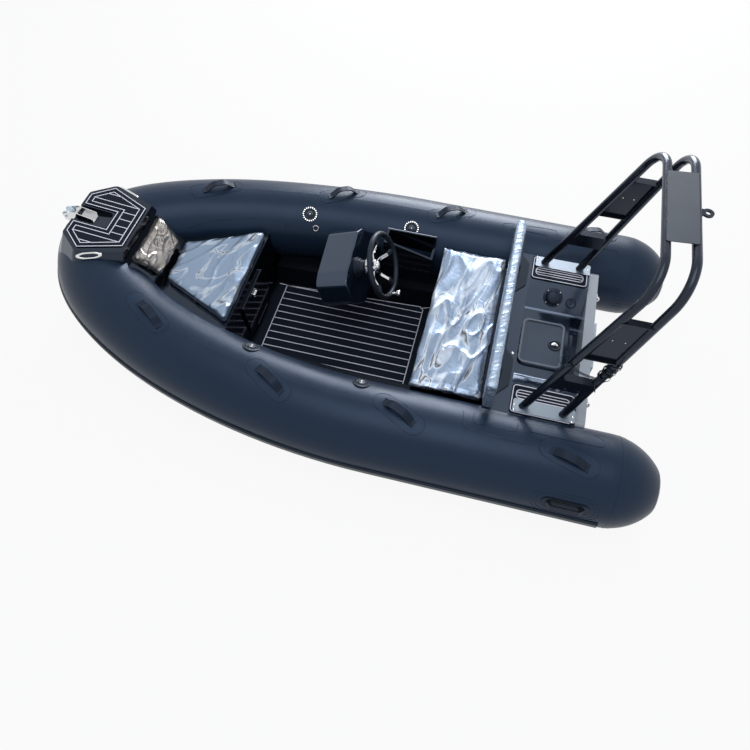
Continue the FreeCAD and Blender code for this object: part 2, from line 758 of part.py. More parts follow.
def make_hull():
    """The rigid vee hull, closed, up to the seam with the inner moulding."""
    sections = []
    start = HULL_FRAMES[0]
    stretch = (S.tube_bow.value - start) / (HULL_DRAWN_BOW - start)
    widen = S.tube_offset.value / HULL_DRAWN_OFFSET
    for x in HULL_FRAMES:
        keel = faired(x, 1)
        depth = keel * (S.keel_depth.value if keel < 0 else S.tube_rise.value)
        station = start + (x - start) * stretch
        sections.append(hull_section(station, depth, faired(x, 2) * widen, faired(x, 3)))
    lines = shape("HullLines", Part.makeLoft(sections, True, True))
    seam = new_body("HullSeam")
    reach = S.tube_bow + 200
    bow_seam = S.hull_top + (reach - S.locker_foot) * SEAM_CLIMB
    pad(seam, "XZ", [[(-20, S.hull_top), (S.locker_foot, S.hull_top), (reach, bow_seam),
                      (reach, 700), (-20, 700)]], -S.tube_offset, S.tube_offset)
    trimmed = cut("HullTrimmed", lines, seam)
    return keep("hull", cut("Hull", trimmed, tube_room))


SEAM_CLIMB = 0.165


def inner_plan(inset, low, high):
    """What lies inside the tubes, seen from above, as a tall prism."""
    bend, length = S.tube_bend_start.value, S.tube_bow.value - S.tube_bend_start.value
    shares = (0, 0.21, 0.386, 0.533, 0.65, 0.768, 0.856, 0.903)
    stations = [0, bend / 2] + [bend + length * share for share in shares]
    port = [Vector(x, flange_at(x, inset)[0], low) for x in stations]
    side = Part.BSplineCurve()
    side.interpolate(port)
    curve = side.toShape()
    ends = [Vector(port[0].x, -port[0].y, low), Vector(port[-1].x, -port[-1].y, low)]
    other = curve.mirror(Vector(0, 0, 0), PORT)
    face = Part.Face(Part.Wire([
        curve, Part.LineSegment(port[-1], ends[1]).toShape(), other,
        Part.LineSegment(ends[0], port[0]).toShape()]))
    return face.extrude(Vector(0, 0, high - low))


def make_cockpit():
    """The inner moulding: sole, sloping risers and side ledges under the tubes."""
    plan = shape("CockpitPlan", inner_plan(8, 0, 300))
    block = new_body("CockpitBlock")
    wide = S.tube_offset
    pad(block, "YZ", [[(-wide, S.hull_top), (wide, S.hull_top), (wide, S.ledge_top),
                       (-wide, S.ledge_top)]], S.deck_fwd + S.seat_gap, S.locker_foot)
    tray = new_body("CockpitTray")
    aft, fwd = S.sole_half_aft, S.sole_half_fwd
    low, high = S.deck_fwd, S.locker_foot + 1
    pad(tray, "XY", [[(low, -aft), (high, -fwd), (high, fwd), (low, aft)]],
        S.sole_top, S.ledge_top + 1, taper=RISER_ANGLE)
    floor = cut("CockpitFloor", common("CockpitOuter", block, plan), tray)
    return keep("cockpit_liner", cut("CockpitLiner", floor, tube_room))


RISER_ANGLE = 14


def make_floor_mat():
    mat = new_body("FloorMat")
    aft = S.sole_half_aft - 14
    fwd = S.sole_half_fwd - 16
    pad(mat, "XY", [[(S.floor_mat_aft, -aft, 40), (S.floor_mat_fwd, -fwd, 40),
                     (S.floor_mat_fwd, fwd, 40), (S.floor_mat_aft, aft, 40)]],
        S.sole_top, S.sole_top + S.mat_thickness)
    return keep("floor_mat", mat)


# Bow

# Hinges: two knuckles with a pin on the lid, one bored knuckle between them on its frame.
KNUCKLE_HALF = 32
KNUCKLE_CLEARANCE = 2
KNUCKLE_LENGTH = 40


def lid_knuckles(name, leaf):
    """The lid's half of a hinge along Y through the origin; the leaf is two corners in XZ."""
    inner = KNUCKLE_HALF + KNUCKLE_CLEARANCE
    outer = inner + KNUCKLE_LENGTH
    (low_x, low_z), (high_x, high_z) = leaf
    pieces = []
    for side in (-1, 1):
        start = inner if side > 0 else -outer
        barrel = cylinder("%sBarrel%d" % (name, side + 1), S.hinge_radius, outer - inner)
        place(barrel, 0, start, 0, Rotation(FORWARD, -90))
        strap = box("%sLeaf%d" % (name, side + 1), (low_x, start, low_z),
                    (high_x, start + KNUCKLE_LENGTH, high_z))
        pieces += [barrel, strap]
    pin = cylinder(name + "Pin", S.hinge_pin, outer * 2)
    place(pin, 0, -outer, 0, Rotation(FORWARD, -90))
    return fuse(name, pin, *pieces)


def frame_knuckle(name, leaf):
    """The fixed half of a hinge, bored for its pin."""
    (low_x, low_z), (high_x, high_z) = leaf
    barrel = cylinder(name + "Barrel", S.hinge_radius, KNUCKLE_HALF * 2)
    place(barrel, 0, -KNUCKLE_HALF, 0, Rotation(FORWARD, -90))
    strap = box(name + "Leaf", (low_x, -KNUCKLE_HALF, low_z), (high_x, KNUCKLE_HALF, high_z))
    bore = cylinder(name + "Bore", S.hinge_pin + PIN_CLEARANCE, KNUCKLE_HALF * 2 + 20)
    place(bore, 0, -KNUCKLE_HALF - 10, 0, Rotation(FORWARD, -90))
    return cut(name, fuse(name + "Whole", barrel, strap), bore)


PIN_CLEARANCE = 0.3


def on_door_hinge(piece):
    """Put a piece on the hinge at the foot of the locker's door."""
    lean = S.locker_lean / (S.locker_seat - S.hull_top)
    turn = locker_face_turn()
    spot = turn.multVec(Vector(-(S.door_thickness + S.seat_gap).value, 0, -S.hinge_gap.value))
    return place(piece, S.locker_foot + (S.door_low - S.hull_top) * lean + spot.x,
                 S.door_centre, S.door_low + spot.z, turn)


def make_bow_locker():
    """The bow locker: leaning face, seat top, backrest slope, hollow behind its door."""
    foot, lean, seat = S.locker_foot, S.locker_lean, S.locker_seat
    end = S.step_aft + 70
    profile = new_body("LockerProfile")
    seam_end = S.hull_top + (end - foot) * SEAM_CLIMB
    pad(profile, "XZ", [[(foot, S.hull_top), (foot + lean, seat), (S.locker_back_foot, seat),
                         (S.locker_back_end, S.locker_back_top),
                         (S.step_aft - S.seat_gap, S.locker_back_top),
                         (S.step_aft - S.seat_gap, S.step_base - S.seat_gap),
                         (end, S.step_base - S.seat_gap), (end, seam_end)]],
        -S.tube_offset, S.tube_offset)
    plan = shape("LockerPlan", inner_plan(8, -50, 700))
    outer = cut("LockerOuter", common("LockerBlock", profile, plan), tube_room)
    wall = S.locker_wall
    hollow = new_body("LockerHollow")
    pad(hollow, "XZ", [[(foot + wall + 12, S.hull_top + 30), (foot + lean + wall, seat - wall),
                        (S.locker_back_foot - 20, seat - wall),
                        (S.locker_back_foot - 20, S.hull_top + 110)]],
        -S.door_half - 30, S.door_half + 30)
    doorway = new_body("LockerDoorway")
    lip = 12
    pad(doorway, "XZ", [[(foot - 60, S.door_low + lip), (foot + 120, S.door_low + lip),
                         (foot + 120, S.door_low + S.door_height - lip),
                         (foot - 60, S.door_low + S.door_height - lip)]],
        S.door_centre - S.door_half + lip, S.door_centre + S.door_half - lip)
    opened = cut("LockerDoored", cut("LockerOpened", outer, hollow), doorway)
    knuckle = frame_knuckle("DoorFrameKnuckle", ((0, -S.hinge_radius), (S.door_thickness + 4, 0)))
    on_door_hinge(knuckle)
    return keep("bow_locker", fuse("BowLocker", opened, knuckle))


def locker_face_turn():
    """The turn that lays a piece's Z along the leaning face, its X out of the face."""
    lean = math.degrees(math.atan2(S.locker_lean.value, S.locker_seat.value - S.hull_top.value))
    return Rotation(PORT, lean)


def make_locker_door():
    """A flush door hinged at its foot, with its latch near the top."""
    face = math.atan2(S.locker_lean.value, S.locker_seat.value - S.hull_top.value)
    door_x = S.locker_foot + (S.door_low - S.hull_top) * math.tan(face)
    turn = locker_face_turn()
    door = new_body("LockerDoor")
    half, thick, high = S.door_half, S.door_thickness, S.door_height
    pad(door, "YZ", [[(-half, 0, 18), (half, 0, 18), (half, high, 18), (-half, high, 18)]],
        -thick - S.seat_gap, -S.seat_gap)
    round_edges(door, 4, lying_at("x", -thick - S.seat_gap))
    place(door, door_x, S.door_centre, S.door_low, turn)
    knuckles = lid_knuckles("DoorKnuckles", ((0, 0), (S.hinge_radius, S.hinge_gap + 3)))
    on_door_hinge(knuckles)
    keep("bow_locker_door", fuse("LockerDoorHung", door, knuckles))
    latch = new_body("DoorLatch")
    pad(latch, "YZ", [[(-24, -16, 9), (24, -16, 9), (24, 16, 9), (-24, 16, 9)]],
        -thick - 6, -thick - S.seat_gap * 2)
    pad(latch, "YZ", [[(-17, -5, 4), (17, -5, 4), (17, 5, 4), (-17, 5, 4)]],
        -thick - 12, -thick - 5)
    out = Vector(turn.multVec(Vector(0, 0, 1)))
    place(latch, door_x + S.door_height * 0.82 * out.x, S.door_centre,
          S.door_low + S.door_height * 0.82 * out.z, turn)
    return keep("bow_locker_latch", latch)


def make_bow_cushions():
    """Plain closed solids for the bow seat and its leaning back cushion."""
    seat = new_body("BowSeat")
    pad(seat, "XY", [[(S.seat_aft, -S.seat_half_aft, 18), (S.seat_fwd, -S.seat_half_fwd, 18),
                      (S.seat_fwd, S.seat_half_fwd, 18), (S.seat_aft, S.seat_half_aft, 18)]],
        S.locker_seat + S.seat_gap, S.locker_seat + S.seat_thickness)
    round_edges(seat, 14, lying_at("z", S.locker_seat + S.seat_thickness))
    keep("bow_seat_cushion", seat)
    run = S.locker_back_end - S.locker_back_foot
    climb = S.locker_back_top - S.locker_seat
    slope = math.degrees(math.atan2(climb.value, run.value))
    back = new_body("BowBack")
    low, top, long = S.back_low_half, S.back_top_half, S.back_length
    pad(back, "XY", [[(0, -low, 18), (long, -top, 18), (long, top, 18), (0, low, 18)]],
        S.seat_gap, S.back_thickness)
    round_edges(back, 12, lying_at("z", S.back_thickness))
    place(back, S.locker_back_foot + S.back_rise * run / climb, 0,
          S.locker_seat + S.back_rise, Rotation(PORT, -slope))
    return keep("bow_back_cushion", back)


def step_outline(inset, notch):
    """Outline of the bow step seen from above, with its anchor notch."""
    inner = S.notch_half + notch
    return [
        (S.step_aft + inset, -(S.step_half_aft - inset), 22),
        (S.step_wide, -(S.step_half_wide - inset), 30),
        (S.step_fwd - inset, -(S.step_half_fwd - inset), 26),
        (S.step_fwd - inset, -inner, 8),
        (S.notch_aft - notch, -inner, 20),
        (S.notch_aft - notch, inner, 20),
        (S.step_fwd - inset, inner, 8),
        (S.step_fwd - inset, S.step_half_fwd - inset, 26),
        (S.step_wide, S.step_half_wide - inset, 30),
        (S.step_aft + inset, S.step_half_aft - inset, 22),
    ]


STEP_SLOPE = (S.step_top_fwd - S.step_top_aft) / (S.step_fwd - S.step_aft)


def above_step(name, lift):
    """Everything above the sloping top of the bow step."""
    slab = new_body(name)
    aft = S.step_aft - 100
    fwd = S.step_fwd + 150
    low = S.step_top_aft - STEP_SLOPE * 100 + lift
    high = S.step_top_fwd + STEP_SLOPE * 150 + lift
    pad(slab, "XZ", [[(aft, low), (fwd, high), (fwd, 800), (aft, 800)]], -500, 500)
    return slab


def make_bow_step():
    """The moulded bow step that sits astride the tubes, notched for the anchor."""
    block = new_body("StepBlock")
    whole = [c for i, c in enumerate(step_outline(0, 0)) if i not in (3, 4, 5, 6)]
    pad(block, "XY", [whole], S.step_base, S.step_top_fwd, taper=S.step_flare, downward=True)
    lower = new_body("StepBehind")
    pad(lower, "XZ", [[(S.step_aft - 200, 0), (S.step_aft, 0), (S.step_aft, 900),
                       (S.step_aft - 200, 900)]], -500, 500)
    shaved = cut("StepShaved", block, lower)
    shaved = cut("StepTop", shaved, above_step("AboveStep", 0))
    notch = new_body("StepNotch")
    pad(notch, "XY", [[(S.notch_aft, -S.notch_half, 20), (S.step_fwd + 160, -S.notch_half),
                       (S.step_fwd + 160, S.notch_half), (S.notch_aft, S.notch_half, 20)]],
        S.notch_floor, 800)
    notched = cut("StepNotched", shaved, notch)
    return keep("bow_step", cut("BowStep", notched, tube_room))


def make_step_mat():
    """The foam mat on the bow step, round the notch."""
    mat = new_body("StepMatBlock")
    pad(mat, "XY", [step_outline(14, 10)], 500, 700)
    lower = cut("StepMatTop", mat, above_step("AboveMat", S.mat_thickness))
    upper = common("StepMatSlab", lower, above_step("UnderMat", 0))
    return keep("bow_step_mat", upper)


def make_bow_roller():
    """Stainless anchor channel with flared cheeks, and the roller at its tip."""
    channel = new_body("RollerChannel")
    wall = 4
    inner = S.roller_half + 2
    low = S.notch_floor + S.seat_gap
    axis_x, axis_z = S.roller_x, S.roller_z
    aft = S.notch_aft + 82
    side = [(aft, low), (axis_x - 30, low), (axis_x - 12, axis_z - 30, 12),
            (axis_x + 16, axis_z - 30, 14), (axis_x + 16, axis_z + 14, 12),
            (axis_x - 50, axis_z + 34, 20), (aft, low + 28, 12)]
    pad(channel, "XZ", [side], -inner - wall, inner + wall)
    trough = [(aft - 5, low + wall), (axis_x - 62, low + wall), (axis_x - 30, axis_z - 60),
              (axis_x + 60, axis_z - 60), (axis_x + 60, axis_z + 80), (aft - 5, axis_z + 80)]
    pocket(channel, "XZ", [trough], -inner, inner)
    pocket(channel, "XZ", [[(axis_x, axis_z, S.roller_pin + 0.05)]],
           -inner - wall - 1, inner + wall + 1)
    keep("bow_roller_bracket", channel)
    roller = new_body("Roller")
    waist = S.roller_radius - 8
    revolve(roller, "XY", [
        (0, -S.roller_half), (S.roller_radius, -S.roller_half),
        (S.roller_radius, -S.roller_half + 6), (waist, -6), (waist, 6),
        (S.roller_radius, S.roller_half - 6), (S.roller_radius, S.roller_half),
        (0, S.roller_half)])
    pin = cylinder("RollerPin", S.roller_pin, (inner + wall + 3) * 2, 0, 0, 0,
                   Rotation(FORWARD, -90))
    place(pin, 0, -(inner + wall + 3), 0)
    wheel = fuse("RollerWheel", roller, pin)
    place(wheel, axis_x, 0, axis_z)
    return keep("bow_roller", wheel)


def oval(long, high):
    """A closed outline close to an ellipse, from its half axes."""
    waist, side = long * 0.5, high * 0.42
    return [(-waist, -high, long * 1.1), (waist, -high, long * 1.1), (long, -side, high * 0.5),
            (long, side, high * 0.5), (waist, high, long * 1.1), (-waist, high, long * 1.1),
            (-long, side, high * 0.5), (-long, -side, high * 0.5)]


def make_hawses():
    """Oval fairleads let into the flared sides of the bow step."""
    plate = new_body("Hawse")
    long, high = S.hawse_length / 2, S.hawse_height / 2
    pad(plate, "XY", [oval(long, high), oval(long - 20, high - 9)], 0, 9)
    round_edges(plate, 3, lying_at("z", 9))
    run = S.step_wide - S.step_aft
    spread = S.step_half_wide - S.step_half_aft
    swing = math.degrees(math.atan2(spread.value, run.value))
    turn = Rotation(UP, swing) * Rotation(FORWARD, -90 + S.step_flare.value)
    edge = S.step_half_aft + spread * (S.hawse_x - S.step_aft) / run
    flare = (S.step_top_fwd - S.hawse_z) * sine(S.step_flare) / cosine(S.step_flare)
    lift = S.seat_gap
    out = turn.multVec(Vector(0, 0, 1))
    place(plate, S.hawse_x - flare * math.sin(math.radians(swing)) + lift * out.x,
          edge + flare * math.cos(math.radians(swing)) + lift * out.y,
          S.hawse_z + lift * out.z, turn)
    return keep("bow_hawses", cut("HawsesTrimmed", both_sides("Hawses", plate), tube_room))


# Helm

def shaft_turn():
    """The turn that lays a piece's Z along the steering shaft, up and aft."""
    return Rotation(PORT, S.wheel_tilt.value - 90)


def on_shaft(piece, distance):
    """Put a piece on the steering shaft, this far below the wheel's centre."""
    return place(piece, S.wheel_x + distance * cosine(S.wheel_tilt), S.wheel_y,
                 S.wheel_z - distance * sine(S.wheel_tilt), shaft_turn())


def make_console():
    """The rounded console, a prism along the steering shaft, on a foot at the side."""
    pod = new_body("ConsolePod")
    outline = [(102, -165, 22), (70, 88, 30), (46, 158, 40), (-88, 178, 62), (-182, 85, 70),
               (-182, -290, 20), (-45, -305, 40), (76, -215, 40)]
    pad(pod, "XY", [outline], -S.console_depth, 0)
    round_edges(pod, 7, lying_at("z", 0))
    round_edges(pod, 7, lying_at("z", -S.console_depth))
    on_shaft(pod, S.helm_depth)
    foot = new_body("ConsoleFoot")
    base = S.ledge_top + S.seat_gap
    aft = S.wheel_x + S.helm_depth + 12
    pad(foot, "XZ", [[(aft, base), (aft + 130, base), (aft + 130, 300), (aft - 10, 300)]],
        -S.console_foot_out, -S.console_foot_in)
    return keep("console", cut("Console", fuse("ConsoleWhole", pod, foot), tube_room))


def make_bezel():
    """The stepped helm bezel on the console's face, round the steering shaft."""
    bezel = new_body("HelmBezel")
    gap = S.seat_gap
    revolve(bezel, "XZ", [
        (0, gap), (54, gap, 1), (54, 12, 4), (46, 12, 2), (46, 30, 5), (37, 30, 2),
        (34, 52, 5), (24, 52), (24, 70, 3), (0, 70)])
    on_shaft(bezel, S.helm_depth)
    return keep("helm_bezel", bezel)


WHEEL_SPOKES = 5
FIRST_SPOKE = 40.5
KNOB_ANGLE = 158


def around_wheel(piece, index):
    """Turn a piece to one of the wheel's spokes."""
    piece.Placement = Placement(Vector(0, 0, 0),
                                Rotation(UP, FIRST_SPOKE + 360 / WHEEL_SPOKES * index))
    return piece


def make_wheel():
    """A dished wheel: grip with a sleeve on each spoke, five spokes on a hub, spinner knob."""
    reach, grip, dish = S.wheel_radius, S.wheel_grip, S.wheel_dish
    sleeve_end = reach * 0.68
    sleeves = [torus("WheelRim", reach, grip)]
    hub = new_body("WheelHub")
    hub_low = 71 - S.helm_depth
    revolve(hub, "XZ", [
        (0, hub_low), (20, hub_low, 2), (20, -dish - 22, 4), (34, -dish - 16, 6),
        (34, -dish - 5, 5), (22, -dish + 4, 14), (0, -dish + 7)])
    spokes = [hub]
    for i in range(WHEEL_SPOKES):
        spoke = new_body("Spoke%d" % i)
        pad(spoke, "XZ", [[(22, -dish - 14), (reach * 0.42, -dish - 12, 40),
                           (sleeve_end + 6, -12), (sleeve_end + 6, -6),
                           (reach * 0.42, -dish - 6, 40), (22, -dish - 8)]], -8, 8)
        spokes.append(around_wheel(spoke, i))
        sleeve = new_body("Sleeve%d" % i)
        pad(sleeve, "XZ", [[(sleeve_end, -16), (reach, -9), (reach, 7), (sleeve_end, -2)]],
            -12, 12)
        round_edges(sleeve, 4, lambda edge: edge.BoundBox.XLength > 40)
        sleeves.append(around_wheel(sleeve, i))
    rim = fuse("WheelGrip", *sleeves)
    on_shaft(rim, 0)
    keep("wheel_grip", rim)
    rooms = [torus("WheelRimRoom", reach, grip + S.seat_gap)]
    gap = S.seat_gap
    for i in range(WHEEL_SPOKES):
        room = new_body("SleeveRoom%d" % i)
        pad(room, "XZ", [[(sleeve_end - gap, -30), (reach, -30), (reach, 30),
                          (sleeve_end - gap, 30)]], -30, 30)
        rooms.append(around_wheel(room, i))
    trimmed = cut("WheelSpokes", fuse("WheelFrame", *spokes), fuse("WheelRooms", *rooms))
    on_shaft(trimmed, 0)
    keep("wheel_spokes", trimmed)
    knob = new_body("Knob")
    revolve(knob, "XZ", [
        (0, grip + gap), (9, grip + gap), (9, grip + 12), (6, grip + 14),
        (6, grip + 20), (16, grip + 26, 5), (17, grip + 44, 8), (0, grip + 46)])
    around = math.radians(KNOB_ANGLE)
    turn = shaft_turn()
    spot = turn.multVec(Vector(math.cos(around), math.sin(around), 0) * reach.value)
    place(knob, S.wheel_x + spot.x, S.wheel_y + spot.y, S.wheel_z + spot.z, turn)
    return keep("wheel_knob", knob)


def make_side_pocket():
    """An open tray along the starboard tube between console and bench."""
    tray = new_body("SidePocket")
    base = S.ledge_top + S.seat_gap
    front, back, wall = -S.pocket_in, -S.pocket_out, S.pocket_wall
    pad(tray, "YZ", [[(front, base), (front, S.pocket_top, 10), (back, S.pocket_top, 10),
                      (back, S.pocket_floor - 50), (-440, base)]], S.pocket_aft, S.pocket_fwd)
    pocket(tray, "YZ", [[(front - wall, S.pocket_floor), (front - wall, 450),
                         (back + wall, 450), (-446, S.pocket_floor)]],
           S.pocket_aft + wall, S.pocket_fwd - wall)
    low = 328
    pocket(tray, "XZ", [[(S.pocket_aft - 5, low), (S.pocket_fwd - wall * 3, 398, 60),
                         (S.pocket_fwd - wall, 450), (S.pocket_aft - 5, 450)]],
           back + wall * 1.5, front + 5)
    return keep("side_pocket", cut("SidePocketTrimmed", tray, tube_room))


# Bench and aft deck

def make_bench():
    """Box under the bench, its cushion, the long backrest and its two brackets."""
    seat_box = new_body("BenchBox")
    foot = S.sole_half_aft - 14
    base = S.sole_top + S.seat_gap
    ledge = S.ledge_top + S.seat_gap
    half = S.bench_box_half
    top = S.bench_cushion_low - S.seat_gap
    pad(seat_box, "YZ", [[(-foot, base), (foot, base), (foot, ledge), (half, ledge),
                          (half, top), (-half, top), (-half, ledge), (-foot, ledge)]],
        S.deck_fwd + S.seat_gap, S.bench_fwd - 12)
    keep("bench_box", seat_box)
    cushion = new_body("BenchCushion")
    low_half = S.bench_cushion_half - 20
    aft, fwd = S.deck_fwd + 4, S.bench_fwd
    pad(cushion, "YZ", [[(-low_half, S.bench_cushion_low), (low_half, S.bench_cushion_low),
                         (S.bench_cushion_half, S.bench_cushion_top, 14),
                         (-S.bench_cushion_half, S.bench_cushion_top, 14)]], aft, fwd)
    keep("bench_cushion", cushion)
    back = new_body("BenchBack")
    x = S.backrest_x
    pad(back, "XZ", [[(x, S.backrest_low, 16), (x + S.backrest_thickness, S.backrest_low, 16),
                      (x + S.backrest_thickness, S.backrest_top, 16),
                      (x, S.backrest_top, 16)]], -S.backrest_half, S.backrest_half)
    keep("bench_backrest", back)
    brackets = []
    for i, y in enumerate((S.bracket_port, -S.bracket_starboard)):
        bracket = new_body("Bracket%d" % i)
        half = S.bracket_length / 2
        front = S.backrest_x - S.seat_gap
        base = S.deck_top + S.seat_gap
        depth = S.bracket_depth
        pad(bracket, "XY", [[(front, y - half), (front, y + half), (front - depth, y + half * 0.5, 45),
                             (front - depth, y - half * 0.5, 45)]], base, base + 7)
        pad(bracket, "XY", [[(front - 10, y - half * 0.7), (front, y - half * 0.7),
                             (front, y + half * 0.7), (front - 10, y + half * 0.7)]],
            base, S.backrest_top - 60)
        brackets.append(bracket)
    return keep("backrest_brackets", fuse("Brackets", *brackets))


def make_aft_deck():
    """The aft moulding: beam, step decks, splash well, gutter and a locker in its floor."""
    deck = new_body("AftDeck")
    half = S.tube_offset - S.tube_radius * FLANGE_IN - 8
    aft = S.transom_thickness + S.seat_gap
    pad(deck, "YZ", [[(-half, S.hull_top), (half, S.hull_top), (half, S.deck_top),
                      (-half, S.deck_top)]], aft, S.deck_fwd)
    top_half, floor_half = S.well_half_top, S.well_half_floor
    pocket(deck, "YZ", [[(-floor_half, S.well_floor, 30), (floor_half, S.well_floor, 30),
                         (top_half, S.deck_top), (top_half, S.deck_top + 20),
                         (-top_half, S.deck_top + 20), (-top_half, S.deck_top)]],
           aft - 1, S.well_fwd)
    pocket(deck, "YZ", [[(-floor_half + 20, S.gutter_floor, 20),
                         (floor_half - 20, S.gutter_floor, 20),
                         (floor_half, S.well_floor + 1), (-floor_half, S.well_floor + 1)]],
           aft - 1, S.well_aft)
    lap = S.hatch_overlap
    corner = S.hatch_corner - 10
    hole = S.hatch_half - lap
    pocket(deck, "XY", [[(S.hatch_aft + lap, -hole, corner), (S.hatch_fwd - lap, -hole, corner),
                         (S.hatch_fwd - lap, hole, corner), (S.hatch_aft + lap, hole, corner)]],
           S.well_floor - S.hatch_well_depth, S.well_floor + 1)
    return cut("AftDeckTrimmed", deck, tube_room)


def well_slope():
    """Slope of the well's side in degrees, and a turn that stands a piece on it."""
    run = S.well_half_top.value - S.well_half_floor.value
    climb = S.deck_top.value - S.well_floor.value
    slope = math.degrees(math.atan2(climb, run))
    return slope, Rotation(FORWARD, -slope)


def on_well_slope(piece, x, along_slope, lift):
    """Seat a piece on the starboard side of the splash well."""
    slope, turn = well_slope()
    away = as_size(along_slope)
    place(piece, x, -(S.well_half_floor + away * cosine(slope) - lift * sine(slope)),
          S.well_floor + away * sine(slope) + lift * cosine(slope), turn)
    return piece


# The hatch's hinge stands this far clear of the well's floor.
HATCH_HINGE_LIFT = 5


def on_hatch_hinge(piece):
    return place(piece, S.hatch_fwd + S.hinge_gap, 0,
                 S.well_floor + HATCH_HINGE_LIFT + S.hinge_radius)


def make_well_fittings():
    """The round cap and the cable grommet on the well's side, and the deck they sit on."""
    deck = make_aft_deck()
    bore = cylinder("GrommetBore", S.grommet_radius - 7, 60)
    on_well_slope(bore, S.grommet_x, S.cap_along_slope - 12, -50)
    drilled = cut("AftDeckDrilled", deck, bore)
    floor = -(S.hinge_radius + HATCH_HINGE_LIFT) - 2
    knuckle = frame_knuckle("HatchFrameKnuckle", ((-S.hinge_radius, floor), (S.hinge_radius, 0)))
    on_hatch_hinge(knuckle)
    keep("aft_deck", fuse("AftDeckWhole", drilled, knuckle))
    cap = new_body("FillerCap")
    radius = S.cap_radius
    revolve(cap, "XZ", [(0, 0), (radius, 0), (radius, 5, 2), (radius - 12, 8, 3),
                        (radius - 14, 16, 5), (radius - 26, 22, 20), (0, 24)])
    on_well_slope(cap, S.cap_x, S.cap_along_slope, S.seat_gap.value)
    keep("filler_cap", cap)
    grommet = new_body("Grommet")
    outer = S.grommet_radius
    revolve(grommet, "XZ", [(outer - 7, 0), (outer, 0), (outer, 4, 1.5), (outer - 3, 7, 2),
                            (outer - 7, 7)])
    on_well_slope(grommet, S.grommet_x, S.cap_along_slope - 12, S.seat_gap.value)
    keep("cable_grommet", grommet)


def make_hatch():
    """The hatch lid over the locker in the well's floor, its hinges and twist latch."""
    lid = new_body("HatchLid")
    low = S.well_floor + S.seat_gap
    high = low + S.hatch_thickness
    corner = S.hatch_corner
    outline = [(S.hatch_aft, -S.hatch_half, corner), (S.hatch_fwd, -S.hatch_half, corner),
               (S.hatch_fwd, S.hatch_half, corner), (S.hatch_aft, S.hatch_half, corner)]
    pad(lid, "XY", [outline], low, high)
    round_edges(lid, 4, lying_at("z", high))
    rim = 16
    inner = [(S.hatch_aft + rim, -S.hatch_half + rim, 20), (S.hatch_fwd - rim, -S.hatch_half + rim, 20),
             (S.hatch_fwd - rim, S.hatch_half - rim, 20), (S.hatch_aft + rim, S.hatch_half - rim, 20)]
    pocket(lid, "XY", [inner], high - 3, high + 1)
    pocket(lid, "XY", [[(S.hatch_aft + LATCH_SETBACK, 0, S.latch_radius + 1)]],
           high - 8, high + 1)
    knuckles = lid_knuckles("HatchKnuckles", ((-S.hinge_gap - 4, -S.hinge_radius), (0, 2)))
    on_hatch_hinge(knuckles)
    keep("hatch_lid", fuse("HatchLidHung", lid, knuckles))
    make_hatch_latch(high - 8 + S.seat_gap)


LATCH_SETBACK = 46


def make_hatch_latch(floor):
    """A dished round housing with a drop-shaped paddle in it."""
    radius = S.latch_radius
    latch = new_body("HatchLatch")
    revolve(latch, "XZ", [(0, 0), (radius, 0), (radius, 9, 2), (radius - 7, 9, 2),
                          (radius - 11, 3, 3), (0, 3)])
    point = [(-4, -radius + 5, 3), (4, -radius + 5, 3), (13, 5, 10), (13, 19, 11),
             (-13, 19, 11), (-13, 5, 10)]
    pad(latch, "XY", [point], 2, 8)
    place(latch, S.hatch_aft + LATCH_SETBACK, 0, floor)
    return keep("hatch_latch", latch)


def make_step_mats():
    mat = new_body("StepMat")
    pad(mat, "XY", [[(S.step_mat_aft, S.step_mat_in, 18), (S.step_mat_fwd, S.step_mat_in, 18),
                     (S.step_mat_fwd, S.step_mat_out, 18), (S.step_mat_aft, S.step_mat_out, 18)]],
        S.deck_top, S.deck_top + S.mat_thickness)
    return keep("aft_step_mats", both_sides("StepMats", mat))


def make_transom():
    """Aluminium transom plate with its clamp plate and two stern eyes."""
    plate = new_body("TransomPlate")
    half = S.transom_half
    chine_half, chine_height = HULL_LINES[0][2], HULL_LINES[0][3]
    side = S.tube_offset - S.tube_radius * FLANGE_IN
    pad(plate, "YZ", [[(0, -S.keel_depth), (chine_half + CHINE_FLAT, chine_height),
                       (side, S.hull_top), (side, S.tube_height),
                       (half, S.transom_top, 40), (-half, S.transom_top, 40),
                       (-side, S.tube_height), (-side, S.hull_top),
                       (-chine_half - CHINE_FLAT, chine_height)]], 0, S.transom_thickness)
    keep("transom", cut("Transom", plate, tube_room))
    clamp = new_body("MotorPad")
    wide = S.motor_pad_half
    pad(clamp, "YZ", [[(-wide + 30, S.motor_pad_low, 25), (wide - 30, S.motor_pad_low, 25),
                       (wide, S.transom_top - 2, 8), (-wide, S.transom_top - 2, 8)]],
        -S.motor_pad_thickness - S.seat_gap, -S.seat_gap)
    keep("motor_pad", clamp)
    ring = torus("SternRing", 17, 5)
    place(ring, 0, 0, 0, Rotation(FORWARD, 90))
    half_room = box("SternRingRoom", (0, -40, -40), (60, 40, 40))
    bow_ring = cut("SternHalfRing", ring, half_room)
    base = new_body("SternEyeBase")
    pad(base, "YZ", [[(-17, -30, 12), (17, -30, 12), (17, 30, 12), (-17, 30, 12)]], -5, 0)
    eye = fuse("SternEye", bow_ring, base)
    place(eye, -S.seat_gap, S.stern_eye_offset, S.stern_eye_height)
    keep("stern_eyes", both_sides("SternEyes", eye))


# Arch

